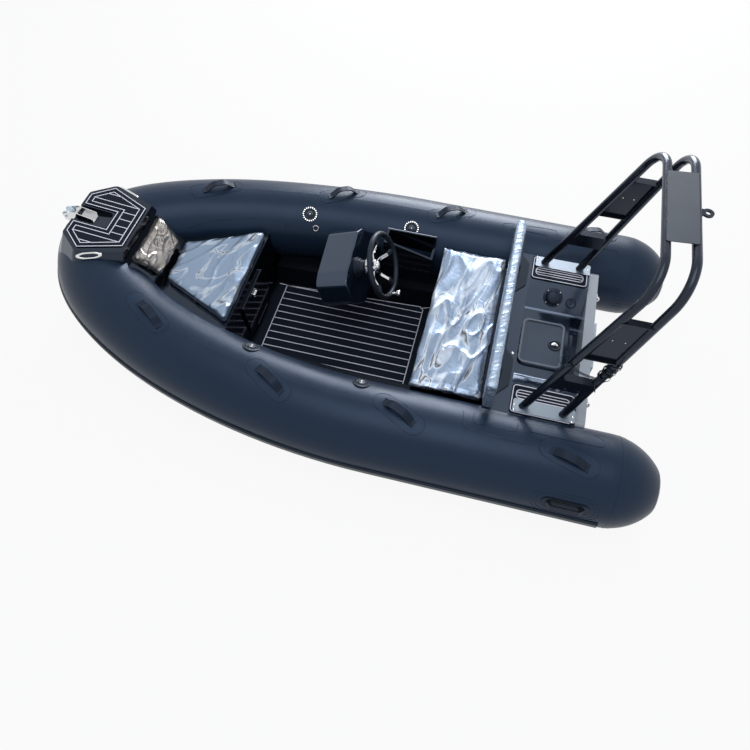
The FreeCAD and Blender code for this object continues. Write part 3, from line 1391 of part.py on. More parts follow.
def make_hoop(name, foot_x, rake, top, grow):
    """One raked hoop of tube: two legs that lean in, and a crossbar."""
    hoop = new_body(name)
    base = S.deck_top + S.mat_thickness + S.base_plate_thickness
    rise = (top - base) / cosine(rake)
    below = 25
    foot_y = S.arch_foot_y + below * S.arch_lean
    top_y = S.arch_foot_y - rise * S.arch_lean
    path = draw(hoop, "YZ", [[(foot_y, -below), (top_y, rise, S.arch_bend),
                              (-top_y, rise, S.arch_bend), (-foot_y, -below)]], closed=False)
    ring = draw(hoop, "XY", [[(0, foot_y, S.arch_radius + grow)]], level=-below)
    pipe = hoop.newObject("PartDesign::AdditivePipe", name + "Pipe")
    pipe.Profile = (ring, [""])
    pipe.Spine = (path, ["Edge%d" % (i + 1) for i in range(5)])
    doc.recompute()
    place(hoop, foot_x, 0, base, Rotation(PORT, -rake.value))
    deck = box(name + "Deck", (-200, -700, 0), (600, 700, base + S.seat_gap))
    return cut(name + "Trimmed", hoop, deck)


def make_arch():
    """Two hoops, welded plates and rungs between their legs, and the tow eye."""
    hoops = {}
    for grow, word in ((0, ""), (S.seat_gap, "Room")):
        hoops["fwd" + word] = make_hoop("ForwardHoop" + word, S.arch_fwd_foot,
                                        S.arch_fwd_rake, S.arch_fwd_top, grow)
        hoops["aft" + word] = make_hoop("AftHoop" + word, S.arch_aft_foot,
                                        S.arch_aft_rake, S.arch_aft_top, grow)
    keep("arch_forward_hoop", hoops["fwd"])
    keep("arch_aft_hoop", hoops["aft"])
    room = fuse("ArchRoom", hoops["fwdRoom"], hoops["aftRoom"])
    base = S.deck_top + S.mat_thickness + S.base_plate_thickness
    fwd_slope = math.tan(math.radians(S.arch_fwd_rake.value))
    aft_slope = math.tan(math.radians(S.arch_aft_rake.value))

    def fwd_leg(height):
        return S.arch_fwd_foot - (as_size(height) - base) * fwd_slope

    def aft_leg(height):
        return S.arch_aft_foot - (as_size(height) - base) * aft_slope

    lean = math.degrees(math.atan(S.arch_lean.value))
    plate = new_body("LegPlate")
    low, high = S.arch_plate_low, S.arch_plate_high
    half = S.arch_plate / 2
    outline = [(aft_leg(low), low - base), (fwd_leg(low), low - base),
               (fwd_leg(high), high - base), (aft_leg(high), high - base)]
    middle = (low + high) / 2
    centre = (fwd_leg(middle) + aft_leg(middle)) / 2
    holes = [[(centre + side, middle - base, 4)] for side in (-25, 25)]
    pad(plate, "XZ", [outline] + holes, -half, half)
    flange = S.arch_flange / 2
    for end, into in ((low, S.arch_plate), (high, -S.arch_plate)):
        first, last = (end, end + into) if into.value > 0 else (end + into, end)
        pad(plate, "XZ", [[(aft_leg(first), first - base), (fwd_leg(first), first - base),
                           (fwd_leg(last), last - base), (aft_leg(last), last - base)]],
            -flange, flange)
    place(plate, 0, S.arch_foot_y, base, Rotation(FORWARD, lean))
    plates = cut("LegPlates", both_sides("LegPlatePair", plate), room)
    keep("arch_leg_plates", plates)
    rung = new_body("Rung")
    height, half = S.arch_rung, S.arch_rung_height / 2
    wide, wall = S.arch_radius, S.arch_plate
    middle_y = S.arch_foot_y - (height - base) * S.arch_lean
    upper, lower = height + half, height - half
    pad(rung, "XZ", [[(aft_leg(lower), -half), (fwd_leg(lower), -half),
                      (fwd_leg(upper), half), (aft_leg(upper), half)]], -wide, wide)
    pocket(rung, "YZ", [[(-wide + wall, -half + wall), (wide - wall, -half + wall),
                         (wide - wall, half - wall), (-wide + wall, half - wall)]],
           aft_leg(upper) - 10, fwd_leg(lower) + 10)
    place(rung, 0, middle_y, height)
    keep("arch_rungs", cut("Rungs", both_sides("RungPair", rung), room))
    top_plate = new_body("TopPlate")
    pad(top_plate, "XY", [[(aft_leg(S.arch_aft_top), -S.arch_plate_half),
                           (fwd_leg(S.arch_fwd_top), -S.arch_plate_half),
                           (fwd_leg(S.arch_fwd_top), S.arch_plate_half),
                           (aft_leg(S.arch_aft_top), S.arch_plate_half)]],
        S.arch_fwd_top + 2, S.arch_fwd_top + 2 + S.arch_plate)
    for side in (-1, 1):
        near = S.arch_plate_half - S.arch_plate
        first, last = (near, S.arch_plate_half) if side > 0 else (-S.arch_plate_half, -near)
        pad(top_plate, "XZ", [[(aft_leg(S.arch_aft_top), S.arch_fwd_top - 24),
                               (fwd_leg(S.arch_fwd_top), S.arch_fwd_top - 24),
                               (fwd_leg(S.arch_fwd_top), S.arch_fwd_top + 4),
                               (aft_leg(S.arch_aft_top), S.arch_fwd_top + 4)]], first, last)
    keep("arch_top_plate", cut("ArchTopPlate", top_plate, room))
    eye = new_body("TowEye")
    bar_x = aft_leg(S.arch_aft_top)
    ring_x = bar_x - S.arch_radius - 24
    pad(eye, "XY", [[(ring_x, -17, 16), (bar_x, -17), (bar_x, 17), (ring_x, 17, 16)]],
        S.arch_aft_top - 4, S.arch_aft_top + 4)
    ring = cylinder("TowRing", 23, 8)
    place(ring, ring_x, 0, S.arch_aft_top - 4)
    hole = cylinder("TowHole", 10.5, 20)
    place(hole, ring_x, 0, S.arch_aft_top - 10)
    keep("tow_eye", cut("TowEyeTrimmed", cut("TowEyeHoled", fuse("TowEyeWhole", eye, ring), hole),
                        room))
    foot = new_body("BasePlate")
    wide = S.base_plate_width / 2
    pad(foot, "XY", [[(S.base_plate_aft, S.arch_foot_y - wide, 10),
                      (S.base_plate_fwd, S.arch_foot_y - wide, 10),
                      (S.base_plate_fwd, S.arch_foot_y + wide, 10),
                      (S.base_plate_aft, S.arch_foot_y + wide, 10)]],
        base - S.base_plate_thickness, base)
    keep("arch_base_plates", both_sides("BasePlates", foot))


# Fittings on the tubes

def tube_spot(x, y):
    """Centre of the tube nearest to a point seen from above, and the directions there."""
    best = None
    for step in range(0, 901):
        centre, outward, upward, direction, radius = tube_frame(step / 10)
        if x < S.tube_bend_start.value:
            centre = Vector(x, S.tube_offset.value, S.tube_height.value)
        flat = Vector(x - centre.x, y - centre.y, 0)
        miss = abs(flat.dot(Vector(direction.x, direction.y, 0)))
        if best is None or miss < best[0]:
            best = (miss, centre, outward, upward, direction, radius, flat)
        if x < S.tube_bend_start.value:
            break
    _, centre, outward, upward, direction, radius, flat = best
    return centre, outward, upward, direction, radius, flat.dot(outward)


def frame_turn(x_axis, z_axis, origin):
    """A placement whose X and Z lie along two directions."""
    y_axis = z_axis.cross(x_axis).normalize()
    x_axis = y_axis.cross(z_axis).normalize()
    return Placement(Matrix(
        x_axis.x, y_axis.x, z_axis.x, origin.x,
        x_axis.y, y_axis.y, z_axis.y, origin.y,
        x_axis.z, y_axis.z, z_axis.z, origin.z,
        0, 0, 0, 1))


def on_tube(piece, x, y, skew=0.0):
    """Stand a piece on the port tube's skin, where it lies seen from above.

    The skew, in degrees, turns the piece's forward end inboard.
    """
    centre, outward, upward, direction, radius, side = tube_spot(x, y)
    angle = math.acos(max(-1.0, min(1.0, side / radius)))
    normal = outward * math.cos(angle) + upward * math.sin(angle)
    inboard = upward * math.cos(angle) - outward * math.sin(angle)
    turn = math.radians(skew)
    along_piece = direction * math.cos(turn) + inboard * math.sin(turn)
    piece.Placement = frame_turn(along_piece, normal, centre + normal * radius)
    return piece


# Station and offset of each strap handle's middle seen from above, and its skew in degrees.
HANDLE_SPOTS = ((2134, 455, 14), (1458, 643, 25), (834, 660, 27), (62, 698, 16))
VALVE_SPOTS = ((1598, 473), (1039, 527))
RELIEF_SPOT = (1553, 423)
HANDLE_ROOT = 12


def make_handles():
    """Webbing handles that arch over the tubes askew, on both sides."""
    handles = []
    for i, (x, y, skew) in enumerate(HANDLE_SPOTS):
        handle = new_body("Handle%d" % i)
        half, rise, thick = S.handle_length / 2, S.handle_rise, S.handle_thickness
        foot, ramp = 18, 42
        reach = half * sine(skew)
        low = S.seat_gap - reach * reach / (S.tube_radius * 2)
        flat = low + thick
        outer = [(-half, -HANDLE_ROOT), (-half + foot, -HANDLE_ROOT), (-half + foot, low),
                 (-half + foot + ramp, rise - thick, 46), (half - foot - ramp, rise - thick, 46),
                 (half - foot, low), (half - foot, -HANDLE_ROOT), (half, -HANDLE_ROOT),
                 (half, flat), (half - foot + 3, flat, 12),
                 (half - foot - ramp + 3, rise, 50), (-half + foot + ramp - 3, rise, 50),
                 (-half + foot - 3, flat, 12), (-half, flat)]
        pad(handle, "XZ", [outer], -S.handle_width / 2, S.handle_width / 2)
        handles.append(on_tube(handle, x, y, skew))
    port = cut("HandlesPort", fuse("HandlesWhole", *handles), tube_room)
    keep("lift_handles_port", port)
    keep("lift_handles_starboard", mirrored("HandlesStarboard", port))


def make_valves():
    """Flush inflation valves on the inner side of both tubes, relief valve to starboard."""
    valves = []
    for i, (x, y) in enumerate(VALVE_SPOTS):
        valve = new_body("Valve%d" % i)
        radius = S.valve_radius
        revolve(valve, "XZ", [(0, -8), (radius, -8), (radius, 3, 2), (radius - 12, 6, 3),
                              (radius - 14, 2, 2), (0, 2)])
        valves.append(on_tube(valve, x, y))
    pair = both_sides("ValvePairs", fuse("ValvesPort", *valves))
    relief = new_body("ReliefValve")
    radius = S.relief_radius
    revolve(relief, "XZ", [(0, -6), (radius, -6), (radius, 3, 2), (radius - 7, 6, 2),
                           (0, 6)])
    on_tube(relief, *RELIEF_SPOT)
    every = fuse("AllValves", pair, mirrored("ReliefStarboard", relief))
    keep("air_valves", cut("Valves", every, tube_room))


def make_carry_handles():
    """Moulded carry handles on the outside of the tubes near the stern."""
    grip = new_body("CarryHandle")
    pad(grip, "XY", [[(-105, -32, 30), (105, -32, 30), (105, 32, 30), (-105, 32, 30)]], -10, 4)
    pocket(grip, "XY", [[(-74, -20, 19), (74, -20, 19), (74, 20, 19), (-74, 20, 19)]], 1, 30)
    pad(grip, "XZ", [[(-84, 0), (84, 0), (84, 8), (66, 28, 16), (-66, 28, 16), (-84, 8)]], -11, 11)
    pocket(grip, "XZ", [[(-66, 1), (66, 1), (58, 20, 10), (-58, 20, 10)]], -14, 14)
    reach = S.tube_offset + S.tube_radius * math.cos(math.radians(CARRY_ANGLE))
    on_tube(grip, CARRY_X, reach.value)
    keep("carry_handles", cut("CarryHandles", both_sides("CarryPair", grip), tube_room))


CARRY_ANGLE = 17
CARRY_X = 38


def check_pieces():
    """Stop if any object failed or any sub-part is not a valid solid."""
    faults = []
    for piece in doc.Objects:
        if "Invalid" in piece.State or "Error" in piece.State:
            faults.append("%s is %s" % (piece.Name, piece.State))
    for label, piece in NODES.items():
        if piece.Shape.isNull() or not piece.Shape.isValid() or not piece.Shape.Solids:
            faults.append("%s has no valid solid" % label)
    if faults:
        raise RuntimeError("; ".join(faults))


def write_pieces():
    os.makedirs("parts", exist_ok=True)
    for label, piece in NODES.items():
        piece.Shape.exportStep(os.path.join("parts", label + ".step"))
        print("%-24s %d solid(s)" % (label, len(piece.Shape.Solids)))


tube_room = make_tubes()
make_strakes()
make_hull()
make_cockpit()
make_floor_mat()
make_bow_locker()
make_locker_door()
make_bow_cushions()
make_bow_step()
make_step_mat()
make_bow_roller()
make_hawses()
make_console()
make_bezel()
make_wheel()
make_side_pocket()
make_bench()
make_well_fittings()
make_hatch()
make_step_mats()
make_transom()
make_arch()
make_handles()
make_valves()
make_carry_handles()
doc.recompute()
check_pieces()
write_pieces()
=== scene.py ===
"""Looks of a 3.2 m rigid inflatable boat: tubes, mouldings, mats, covered seats and arch."""

import json
import logging
import math
from dataclasses import dataclass
from enum import Enum

import bmesh
import bpy
from mathutils import Matrix, Vector, noise


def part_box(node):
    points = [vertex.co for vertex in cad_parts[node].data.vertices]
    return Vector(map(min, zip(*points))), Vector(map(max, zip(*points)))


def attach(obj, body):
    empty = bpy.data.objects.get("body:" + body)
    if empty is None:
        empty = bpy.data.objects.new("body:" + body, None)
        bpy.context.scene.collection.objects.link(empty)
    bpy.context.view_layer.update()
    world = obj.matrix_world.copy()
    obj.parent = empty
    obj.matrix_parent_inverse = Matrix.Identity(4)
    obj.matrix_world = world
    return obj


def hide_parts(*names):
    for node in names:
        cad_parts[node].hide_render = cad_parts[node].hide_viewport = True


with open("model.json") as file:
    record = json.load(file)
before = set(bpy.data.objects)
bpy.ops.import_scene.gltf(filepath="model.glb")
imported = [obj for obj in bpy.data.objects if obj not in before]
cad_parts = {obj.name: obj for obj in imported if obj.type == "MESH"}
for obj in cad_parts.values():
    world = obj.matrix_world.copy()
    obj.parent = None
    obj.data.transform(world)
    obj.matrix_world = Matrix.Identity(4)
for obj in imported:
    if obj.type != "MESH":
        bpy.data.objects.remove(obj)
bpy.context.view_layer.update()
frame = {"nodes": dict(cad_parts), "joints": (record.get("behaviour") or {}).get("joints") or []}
LOG = logging.getLogger("boat")
MM = 0.001
COAT_ROUGHNESS = 0.06
WEAR = (-0.05, 0.07)  # How far the roughness strays below and above its own value.
LEAST_ROUGHNESS = 0.02
PATCH_PER_METRE = 9.0  # Worn and clean patches are about a hand wide.


# Finishes


def to_linear(hex_colour: str) -> tuple[float, float, float, float]:
    """Turn an sRGB hex colour into linear RGBA.

    Args:
        hex_colour: Six hex digits, with or without a leading hash.

    Returns:
        Linear red, green, blue and an alpha of 1.
    """
    digits = hex_colour.lstrip("#")
    channels = []
    for start in (0, 2, 4):
        value = int(digits[start:start + 2], 16) / 255
        channels.append(value / 12.92 if value <= 0.04045 else ((value + 0.055) / 1.055) ** 2.4)
    return channels[0], channels[1], channels[2], 1.0


def add_node(tree: bpy.types.NodeTree, kind: str, settings: dict | None = None,
             links: dict | None = None) -> bpy.types.Node:
    """Add one node with its settings and its incoming links.

    Args:
        tree: The tree that gets the node.
        kind: Type name of the node, without the ShaderNode prefix.
        settings: Property names or input names, with the value of each.
        links: Input names, with the output socket that feeds each.

    Returns:
        The new node.
    """
    node = tree.nodes.new("ShaderNode" + kind)
    for key, value in (settings or {}).items():
        if isinstance(key, str) and hasattr(node, key) and key not in node.inputs:
            setattr(node, key, value)
        else:
            node.inputs[key].default_value = value
    for key, socket in (links or {}).items():
        tree.links.new(socket, node.inputs[key])
    return node


def start_material(name: str) -> tuple[bpy.types.Material, bpy.types.Node]:
    """Start a node material.

    Args:
        name: Plain name of the material.

    Returns:
        The material and its surface shader.
    """
    made = bpy.data.materials.new(name)
    made.use_nodes = True
    return made, made.node_tree.nodes["Principled BSDF"]


def add_object(name: str, data: bpy.types.ID) -> bpy.types.Object:
    """Put a mesh, curve, lamp or camera into the scene."""
    made = bpy.data.objects.new(name, data)
    bpy.context.scene.collection.objects.link(made)
    return made


class Surface(Enum):
    """How a surface was made, which decides its relief."""

    SMOOTH = "smooth"
    COATED_FABRIC = "coated fabric"
    CLOSED_CELL_FOAM = "closed-cell foam"
    MOULDED = "moulded"
    BRUSHED = "brushed"
    WOVEN = "woven"


@dataclass(frozen=True)
class Finish:
    """One finish: what it is made of and the relief that its making leaves.

    Attributes:
        name: Plain name of the material.
        colour: sRGB hex of its body colour.
        roughness: Micro roughness of the surface.
        metallic: 1 for bare metal.
        ior: Index of refraction of a non-metal.
        surface: How the surface was made.
        grain_mm: Size of the relief's pattern.
        relief_mm: Height of the relief.
        mottle: How far the colour strays, as a share.
        coat: Weight of a clear coat.
        tint: sRGB hex that the gloss takes on, white for none; a blue tint is a painted sky
            reflection.
    """

    name: str
    colour: str
    roughness: float
    metallic: float = 0.0
    ior: float = 1.5
    surface: Surface = Surface.SMOOTH
    grain_mm: float = 1.0
    relief_mm: float = 0.0
    mottle: float = 0.06
    coat: float = 0.0
    tint: str = "#FFFFFF"

    def height(self, tree: bpy.types.NodeTree,
               place: bpy.types.NodeSocket) -> bpy.types.NodeSocket:
        """Build the relief's height field.

        Args:
            tree: The material's tree.
            place: Object coordinates in metres.

        Returns:
            The socket that carries the height, 0 to 1.
        """
        per_metre = 1000.0 / self.grain_mm
        if self.surface in (Surface.COATED_FABRIC, Surface.WOVEN):
            split = add_node(tree, "SeparateXYZ", links={0: place})
            waves = []
            for axis in ("X", "Y"):
                turned = add_node(tree, "Math", {"operation": "MULTIPLY", 1: per_metre * math.pi},
                                  {0: split.outputs[axis]})
                waves.append(add_node(tree, "Math", {"operation": "SINE"}, {0: turned.outputs[0]}))
            product = add_node(tree, "Math", {"operation": "MULTIPLY"},
                               {0: waves[0].outputs[0], 1: waves[1].outputs[0]})
            weave = add_node(tree, "Math", {"operation": "ABSOLUTE"}, {0: product.outputs[0]})
            return weave.outputs[0]
        if self.surface is Surface.BRUSHED:
            # A scratch is fifty times longer than wide.
            scale = (per_metre, per_metre * 0.02, per_metre)
            stretched = add_node(tree, "Mapping", {"Scale": scale}, {"Vector": place})
            return add_node(tree, "TexNoise", {"Scale": 1.0, "Detail": 3.0},
                            {"Vector": stretched.outputs[0]}).outputs[0]
        detail = 4.0 if self.surface is Surface.CLOSED_CELL_FOAM else 2.0
        return add_node(tree, "TexNoise", {"Scale": per_metre, "Detail": detail},
                        {"Vector": place}).outputs[0]

    def material(self) -> bpy.types.Material:
        """Build the material, or find it if it was built before."""
        found = bpy.data.materials.get(self.name)
        if found:
            return found
        made, shader = start_material(self.name)
        tree = made.node_tree
        shader.inputs["Metallic"].default_value = self.metallic
        shader.inputs["IOR"].default_value = self.ior
        shader.inputs["Coat Weight"].default_value = self.coat
        shader.inputs["Coat Roughness"].default_value = COAT_ROUGHNESS
        # A blue tint in the gloss and the coat paints a sky reflection onto the surface.
        shader.inputs["Specular Tint"].default_value = to_linear(self.tint)
        shader.inputs["Coat Tint"].default_value = to_linear(self.tint)
        place = add_node(tree, "TexCoord").outputs["Object"]
        patch = add_node(tree, "TexNoise", {"Scale": PATCH_PER_METRE, "Detail": 5.0},
                         {"Vector": place})
        base = to_linear(self.colour)
        dark = tuple(c * (1 - self.mottle) for c in base[:3]) + (1.0,)
        light = tuple(min(c * (1 + self.mottle), 1.0) for c in base[:3]) + (1.0,)
        tint = add_node(tree, "Mix", {"data_type": "RGBA", 6: dark, 7: light},
                        {0: patch.outputs[0]})
        tree.links.new(tint.outputs[2], shader.inputs["Base Color"])
        worn = add_node(tree, "MapRange", {3: max(self.roughness + WEAR[0], LEAST_ROUGHNESS),
                                           4: self.roughness + WEAR[1]}, {0: patch.outputs[0]})
        tree.links.new(worn.outputs[0], shader.inputs["Roughness"])
        if self.relief_mm > 0:
            bump = add_node(tree, "Bump", {"Distance": self.relief_mm * MM, "Strength": 1.0},
                            {"Height": self.height(tree, place)})
            tree.links.new(bump.outputs[0], shader.inputs["Normal"])
        return made


# The blue tints in the gloss of the finishes below are a painted sky reflection.
# Calendered boat fabric over polyester: satin, navy black, with a broad soft highlight.
TUBE_FABRIC = Finish("tube_fabric", "#172537", 0.36, ior=1.43, surface=Surface.COATED_FABRIC,
                     grain_mm=1.4, relief_mm=0.02, mottle=0.10, tint="#B4CAEF")
# The same fabric in doubled patches and tapes, a shade paler along their pressed edges.
PATCH_FABRIC = Finish("patch_fabric", "#1A293C", 0.38, ior=1.42, surface=Surface.COATED_FABRIC,
                      grain_mm=1.4, relief_mm=0.03, mottle=0.08, tint="#B4CAEF")
# Extruded rubber band, smoother and blacker than the fabric.
STRAKE_RUBBER = Finish("extruded_rubber", "#0E1218", 0.36, surface=Surface.MOULDED, grain_mm=3.0,
                       relief_mm=0.03, tint="#B4CAEF")
# Gelcoat on glass fibre: deep black, mirror-like, with a slow orange-peel wave.
BLACK_GELCOAT = Finish("black_gelcoat", "#06080B", 0.12, ior=1.62, surface=Surface.MOULDED,
                       grain_mm=28.0, relief_mm=0.08, coat=0.30, tint="#A6C0E4")
# The same gelcoat on the parts that face the sky, with painted sky light: a paler colour and a
# stronger gloss lift its slate black to blue grey.
GELCOAT_PAINTED_SKY_LIGHT = Finish("gelcoat_painted_sky_light", "#151D28", 0.14, ior=1.90, surface=Surface.MOULDED,
                     grain_mm=28.0, relief_mm=0.08, coat=0.5, tint="#B5CBE8")
# The inside moulding, flow-coated by brush: black and only half glossy.
FLOWCOAT = Finish("black_flowcoat", "#07090D", 0.38, ior=1.30, surface=Surface.MOULDED,
                  grain_mm=9.0, relief_mm=0.10, tint="#B4CAEF")
# Painted hull: even light grey with a satin gloss.
HULL_PAINT = Finish("grey_hull_paint", "#939DA9", 0.30, surface=Surface.MOULDED, grain_mm=20.0,
                    relief_mm=0.05, coat=0.2)
# Closed-cell deck foam with a brushed top: nearly black, dead matt.
DECK_FOAM = Finish("deck_foam", "#10151E", 0.82, ior=1.30, surface=Surface.CLOSED_CELL_FOAM,
                   grain_mm=1.6, relief_mm=0.05, tint="#B4CAEF")
# The pale lower layer of the foam, laid bare in the routed lines.
FOAM_LINE = Finish("foam_line", "#D3D6E6", 0.75, surface=Surface.CLOSED_CELL_FOAM, grain_mm=1.2,
                   relief_mm=0.05)
# Milled aluminium plate with the long scratches of brushing.
BRUSHED_ALUMINIUM = Finish("brushed_aluminium", "#8E99A6", 0.40, metallic=1.0,
                           surface=Surface.BRUSHED, grain_mm=0.8, relief_mm=0.03)
# Polished stainless steel.
STAINLESS = Finish("polished_stainless", "#D8D9DB", 0.10, metallic=1.0, mottle=0.03)
# Gloss powder coat over tube.
BLACK_POWDER_COAT = Finish("black_powder_coat", "#0A0C10", 0.26, surface=Surface.MOULDED,
                           grain_mm=2.2, relief_mm=0.03, coat=0.3, tint="#B4CAEF")
# The same coat on flat sheet, in a paler, greyer satin with a stronger mottle.
PALE_POWDER_COAT = Finish("pale_powder_coat", "#39424F", 0.40, surface=Surface.MOULDED,
                             grain_mm=2.2, relief_mm=0.04, mottle=0.16)
# Soft moulded polyurethane of grips and latches.
SOFT_BLACK = Finish("soft_black_moulding", "#12151B", 0.40, surface=Surface.MOULDED, grain_mm=0.9,
                    relief_mm=0.02, tint="#B4CBF2")
# Woven polyester webbing.
WEBBING = Finish("woven_webbing", "#131B28", 0.46, ior=1.38, surface=Surface.WOVEN, grain_mm=2.6,
                 relief_mm=0.03, tint="#B4CAEF")
# The hatch's moulded rim, a paler gelcoat.
GREY_GELCOAT = Finish("grey_gelcoat", "#5C6878", 0.30, surface=Surface.MOULDED, grain_mm=12.0,
                      relief_mm=0.05, coat=0.4)
# The hatch's lid: rotationally moulded plastic, dull slate grey.
SLATE_PLASTIC = Finish("slate_plastic", "#39424F", 0.42, surface=Surface.MOULDED, grain_mm=1.6,
                       relief_mm=0.04, mottle=0.12, tint="#B9CDEF")
# Pale, slightly waxy nylon of the anchor roller.
PALE_NYLON = Finish("pale_nylon", "#C6D6E2", 0.32, surface=Surface.MOULDED, grain_mm=6.0,
                    relief_mm=0.03)


@dataclass(frozen=True)
class Film:
    """Metallised packing film: a bright sheet crossed by crease lines, with painted shade in the
    creases and painted highlights beside them.

    Attributes:
        name: Plain name of the material.
        colour: sRGB hex of the flat sheet.
        shade: sRGB hex of the painted shade inside a fold.
        glint: sRGB hex of the painted highlight along a fold's crest.
        angle: Direction of the long folds, degrees from the boat's length.
        fold_mm: Spacing of the long folds.
        stretch: How many times longer than wide a fold is.
        crumple: Share of the short folds that cross the long ones.
        width: Half width of a crease line in the pattern's own units.
        metallic: Share of bare metal that shows through the clear layer.
        roughness: Least and greatest roughness.
        relief_mm: Depth of the creases.
        cross_turn: Degrees between the long folds and the short ones.
        cross_density: How many short folds there are to a long one.
        cross_stretch: How many times longer than wide a short fold is.
        patch_per_metre: Patches of more and less creased film to a metre.
    """

    name: str
    colour: str
    shade: str
    glint: str
    angle: float
    fold_mm: float = 60.0
    stretch: float = 4.0
    crumple: float = 0.5
    width: float = 0.05
    metallic: float = 0.75
    roughness: tuple[float, float] = (0.22, 0.40)
    relief_mm: float = 10.0
    cross_turn: float = 62.0
    cross_density: float = 1.7
    cross_stretch: float = 1.8
    patch_per_metre: float = 7.0

    def creases(self, tree: bpy.types.NodeTree, place: bpy.types.NodeSocket, turn: float,
                per_metre: float, stretch: float) -> bpy.types.NodeSocket:
        """Distance from the nearest crease, 0 on its line.

        Args:
            tree: The material's tree.
            place: Object coordinates in metres.
            turn: Direction of the creases in degrees.
            per_metre: How many creases to a metre.
            stretch: How much longer than wide each is.

        Returns:
            The socket that carries the distance.
        """
        turned = add_node(tree, "Mapping", {"Rotation": (0.0, 0.0, math.radians(-turn))},
                          {"Vector": place})
        scaled = add_node(tree, "VectorMath", {
            "operation": "MULTIPLY", 1: (per_metre / stretch, per_metre, per_metre)},
            {0: turned.outputs[0]})
        field = add_node(tree, "TexNoise", {"Scale": 1.0, "Detail": 2.0, "Distortion": 0.9},
                         {"Vector": scaled.outputs[0]})
        centred = add_node(tree, "Math", {"operation": "SUBTRACT", 1: 0.5}, {0: field.outputs[0]})
        distance = add_node(tree, "Math", {"operation": "ABSOLUTE"}, {0: centred.outputs[0]})
        return distance.outputs[0]

    def material(self) -> bpy.types.Material:
        """Build the material, or find it if it was built before."""
        found = bpy.data.materials.get(self.name)
        if found:
            return found
        made, shader = start_material(self.name)
        tree = made.node_tree
        shader.inputs["Metallic"].default_value = self.metallic
        place = add_node(tree, "TexCoord").outputs["Object"]
        per_metre = 1000.0 / self.fold_mm
        long_folds = self.creases(tree, place, self.angle, per_metre, self.stretch)
        cross_folds = self.creases(tree, place, self.angle + self.cross_turn,
                                   per_metre * self.cross_density, self.cross_stretch)
        # Each MapRange fades from a line's middle (1, 3) to its edge (2, 4).
        # Painted shade: dark lines along the long and the short creases.
        dark = add_node(tree, "MapRange", {1: 0.0, 2: self.width, 3: 0.9, 4: 0.0}, {0: long_folds})
        cross = add_node(tree, "MapRange", {1: 0.0, 2: self.width * 0.6, 3: self.crumple, 4: 0.0},
                         {0: cross_folds})
        # Painted highlight: pale lines beside each long crease, stronger in some patches.
        bright = add_node(tree, "MapRange", {1: self.width, 2: self.width * 2.4, 3: 0.75, 4: 0.0},
                          {0: long_folds})
        patch = add_node(tree, "TexNoise", {"Scale": self.patch_per_metre, "Detail": 3.0},
                         {"Vector": place})
        lit = add_node(tree, "Math", {"operation": "MULTIPLY"},
                       {0: bright.outputs[0], 1: patch.outputs[0]})
        first = add_node(tree, "Mix", {"data_type": "RGBA", 6: to_linear(self.colour),
                                       7: to_linear(self.glint)}, {0: lit.outputs[0]})
        lines = add_node(tree, "Math", {"operation": "MAXIMUM"},
                         {0: dark.outputs[0], 1: cross.outputs[0]})
        broken = add_node(tree, "MapRange", {1: 0.42, 2: 0.55}, {0: patch.outputs[0]})
        shown = add_node(tree, "Math", {"operation": "MULTIPLY"},
                         {0: lines.outputs[0], 1: broken.outputs[0]})
        second = add_node(tree, "Mix", {"data_type": "RGBA", 7: to_linear(self.shade)},
                          {0: shown.outputs[0], 6: first.outputs[2]})
        tree.links.new(second.outputs[2], shader.inputs["Base Color"])
        rough = add_node(tree, "MapRange", {3: self.roughness[0], 4: self.roughness[1]},
                         {0: patch.outputs[0]})
        tree.links.new(rough.outputs[0], shader.inputs["Roughness"])
        height = add_node(tree, "Math", {"operation": "MULTIPLY_ADD", 1: self.crumple},
                          {0: cross_folds, 2: long_folds})
        bump = add_node(tree, "Bump", {"Distance": self.relief_mm * MM, "Strength": 0.5},
                        {"Height": height.outputs[0]})
        tree.links.new(bump.outputs[0], shader.inputs["Normal"])
        return made


# Film on the bow seat: smooth and blue-white, with folds that run in from its edges.
SEAT_FILM = Film("seat_film", "#8497AF", "#1A222C", "#EAF0F7", angle=62.0, fold_mm=120.0,
                 stretch=2.6, crumple=0.25, width=0.015)
# Film on the bench: long folds along the seat, with painted shade where they overlap.
BENCH_FILM = Film("bench_film", "#8799B1", "#10151C", "#EEF3F9", angle=78.0, fold_mm=95.0,
                  stretch=3.6, crumple=0.45, width=0.026)
# Film on the bow backrest: greyer and crumpled all over like foil.
CRUMPLED_FILM = Film("crumpled_film", "#8A8683", "#1E1B1A", "#E6E3DF", angle=110.0, fold_mm=60.0,
                     stretch=1.7, crumple=0.6, width=0.030)
# Film on the long backrest: a pale strip with fine slanting wrinkles.
STRIP_FILM = Film("strip_film", "#93A6BE", "#5C6B7F", "#E3EBF4", angle=35.0, fold_mm=30.0,
                  stretch=5.0, crumple=0.1, width=0.020)

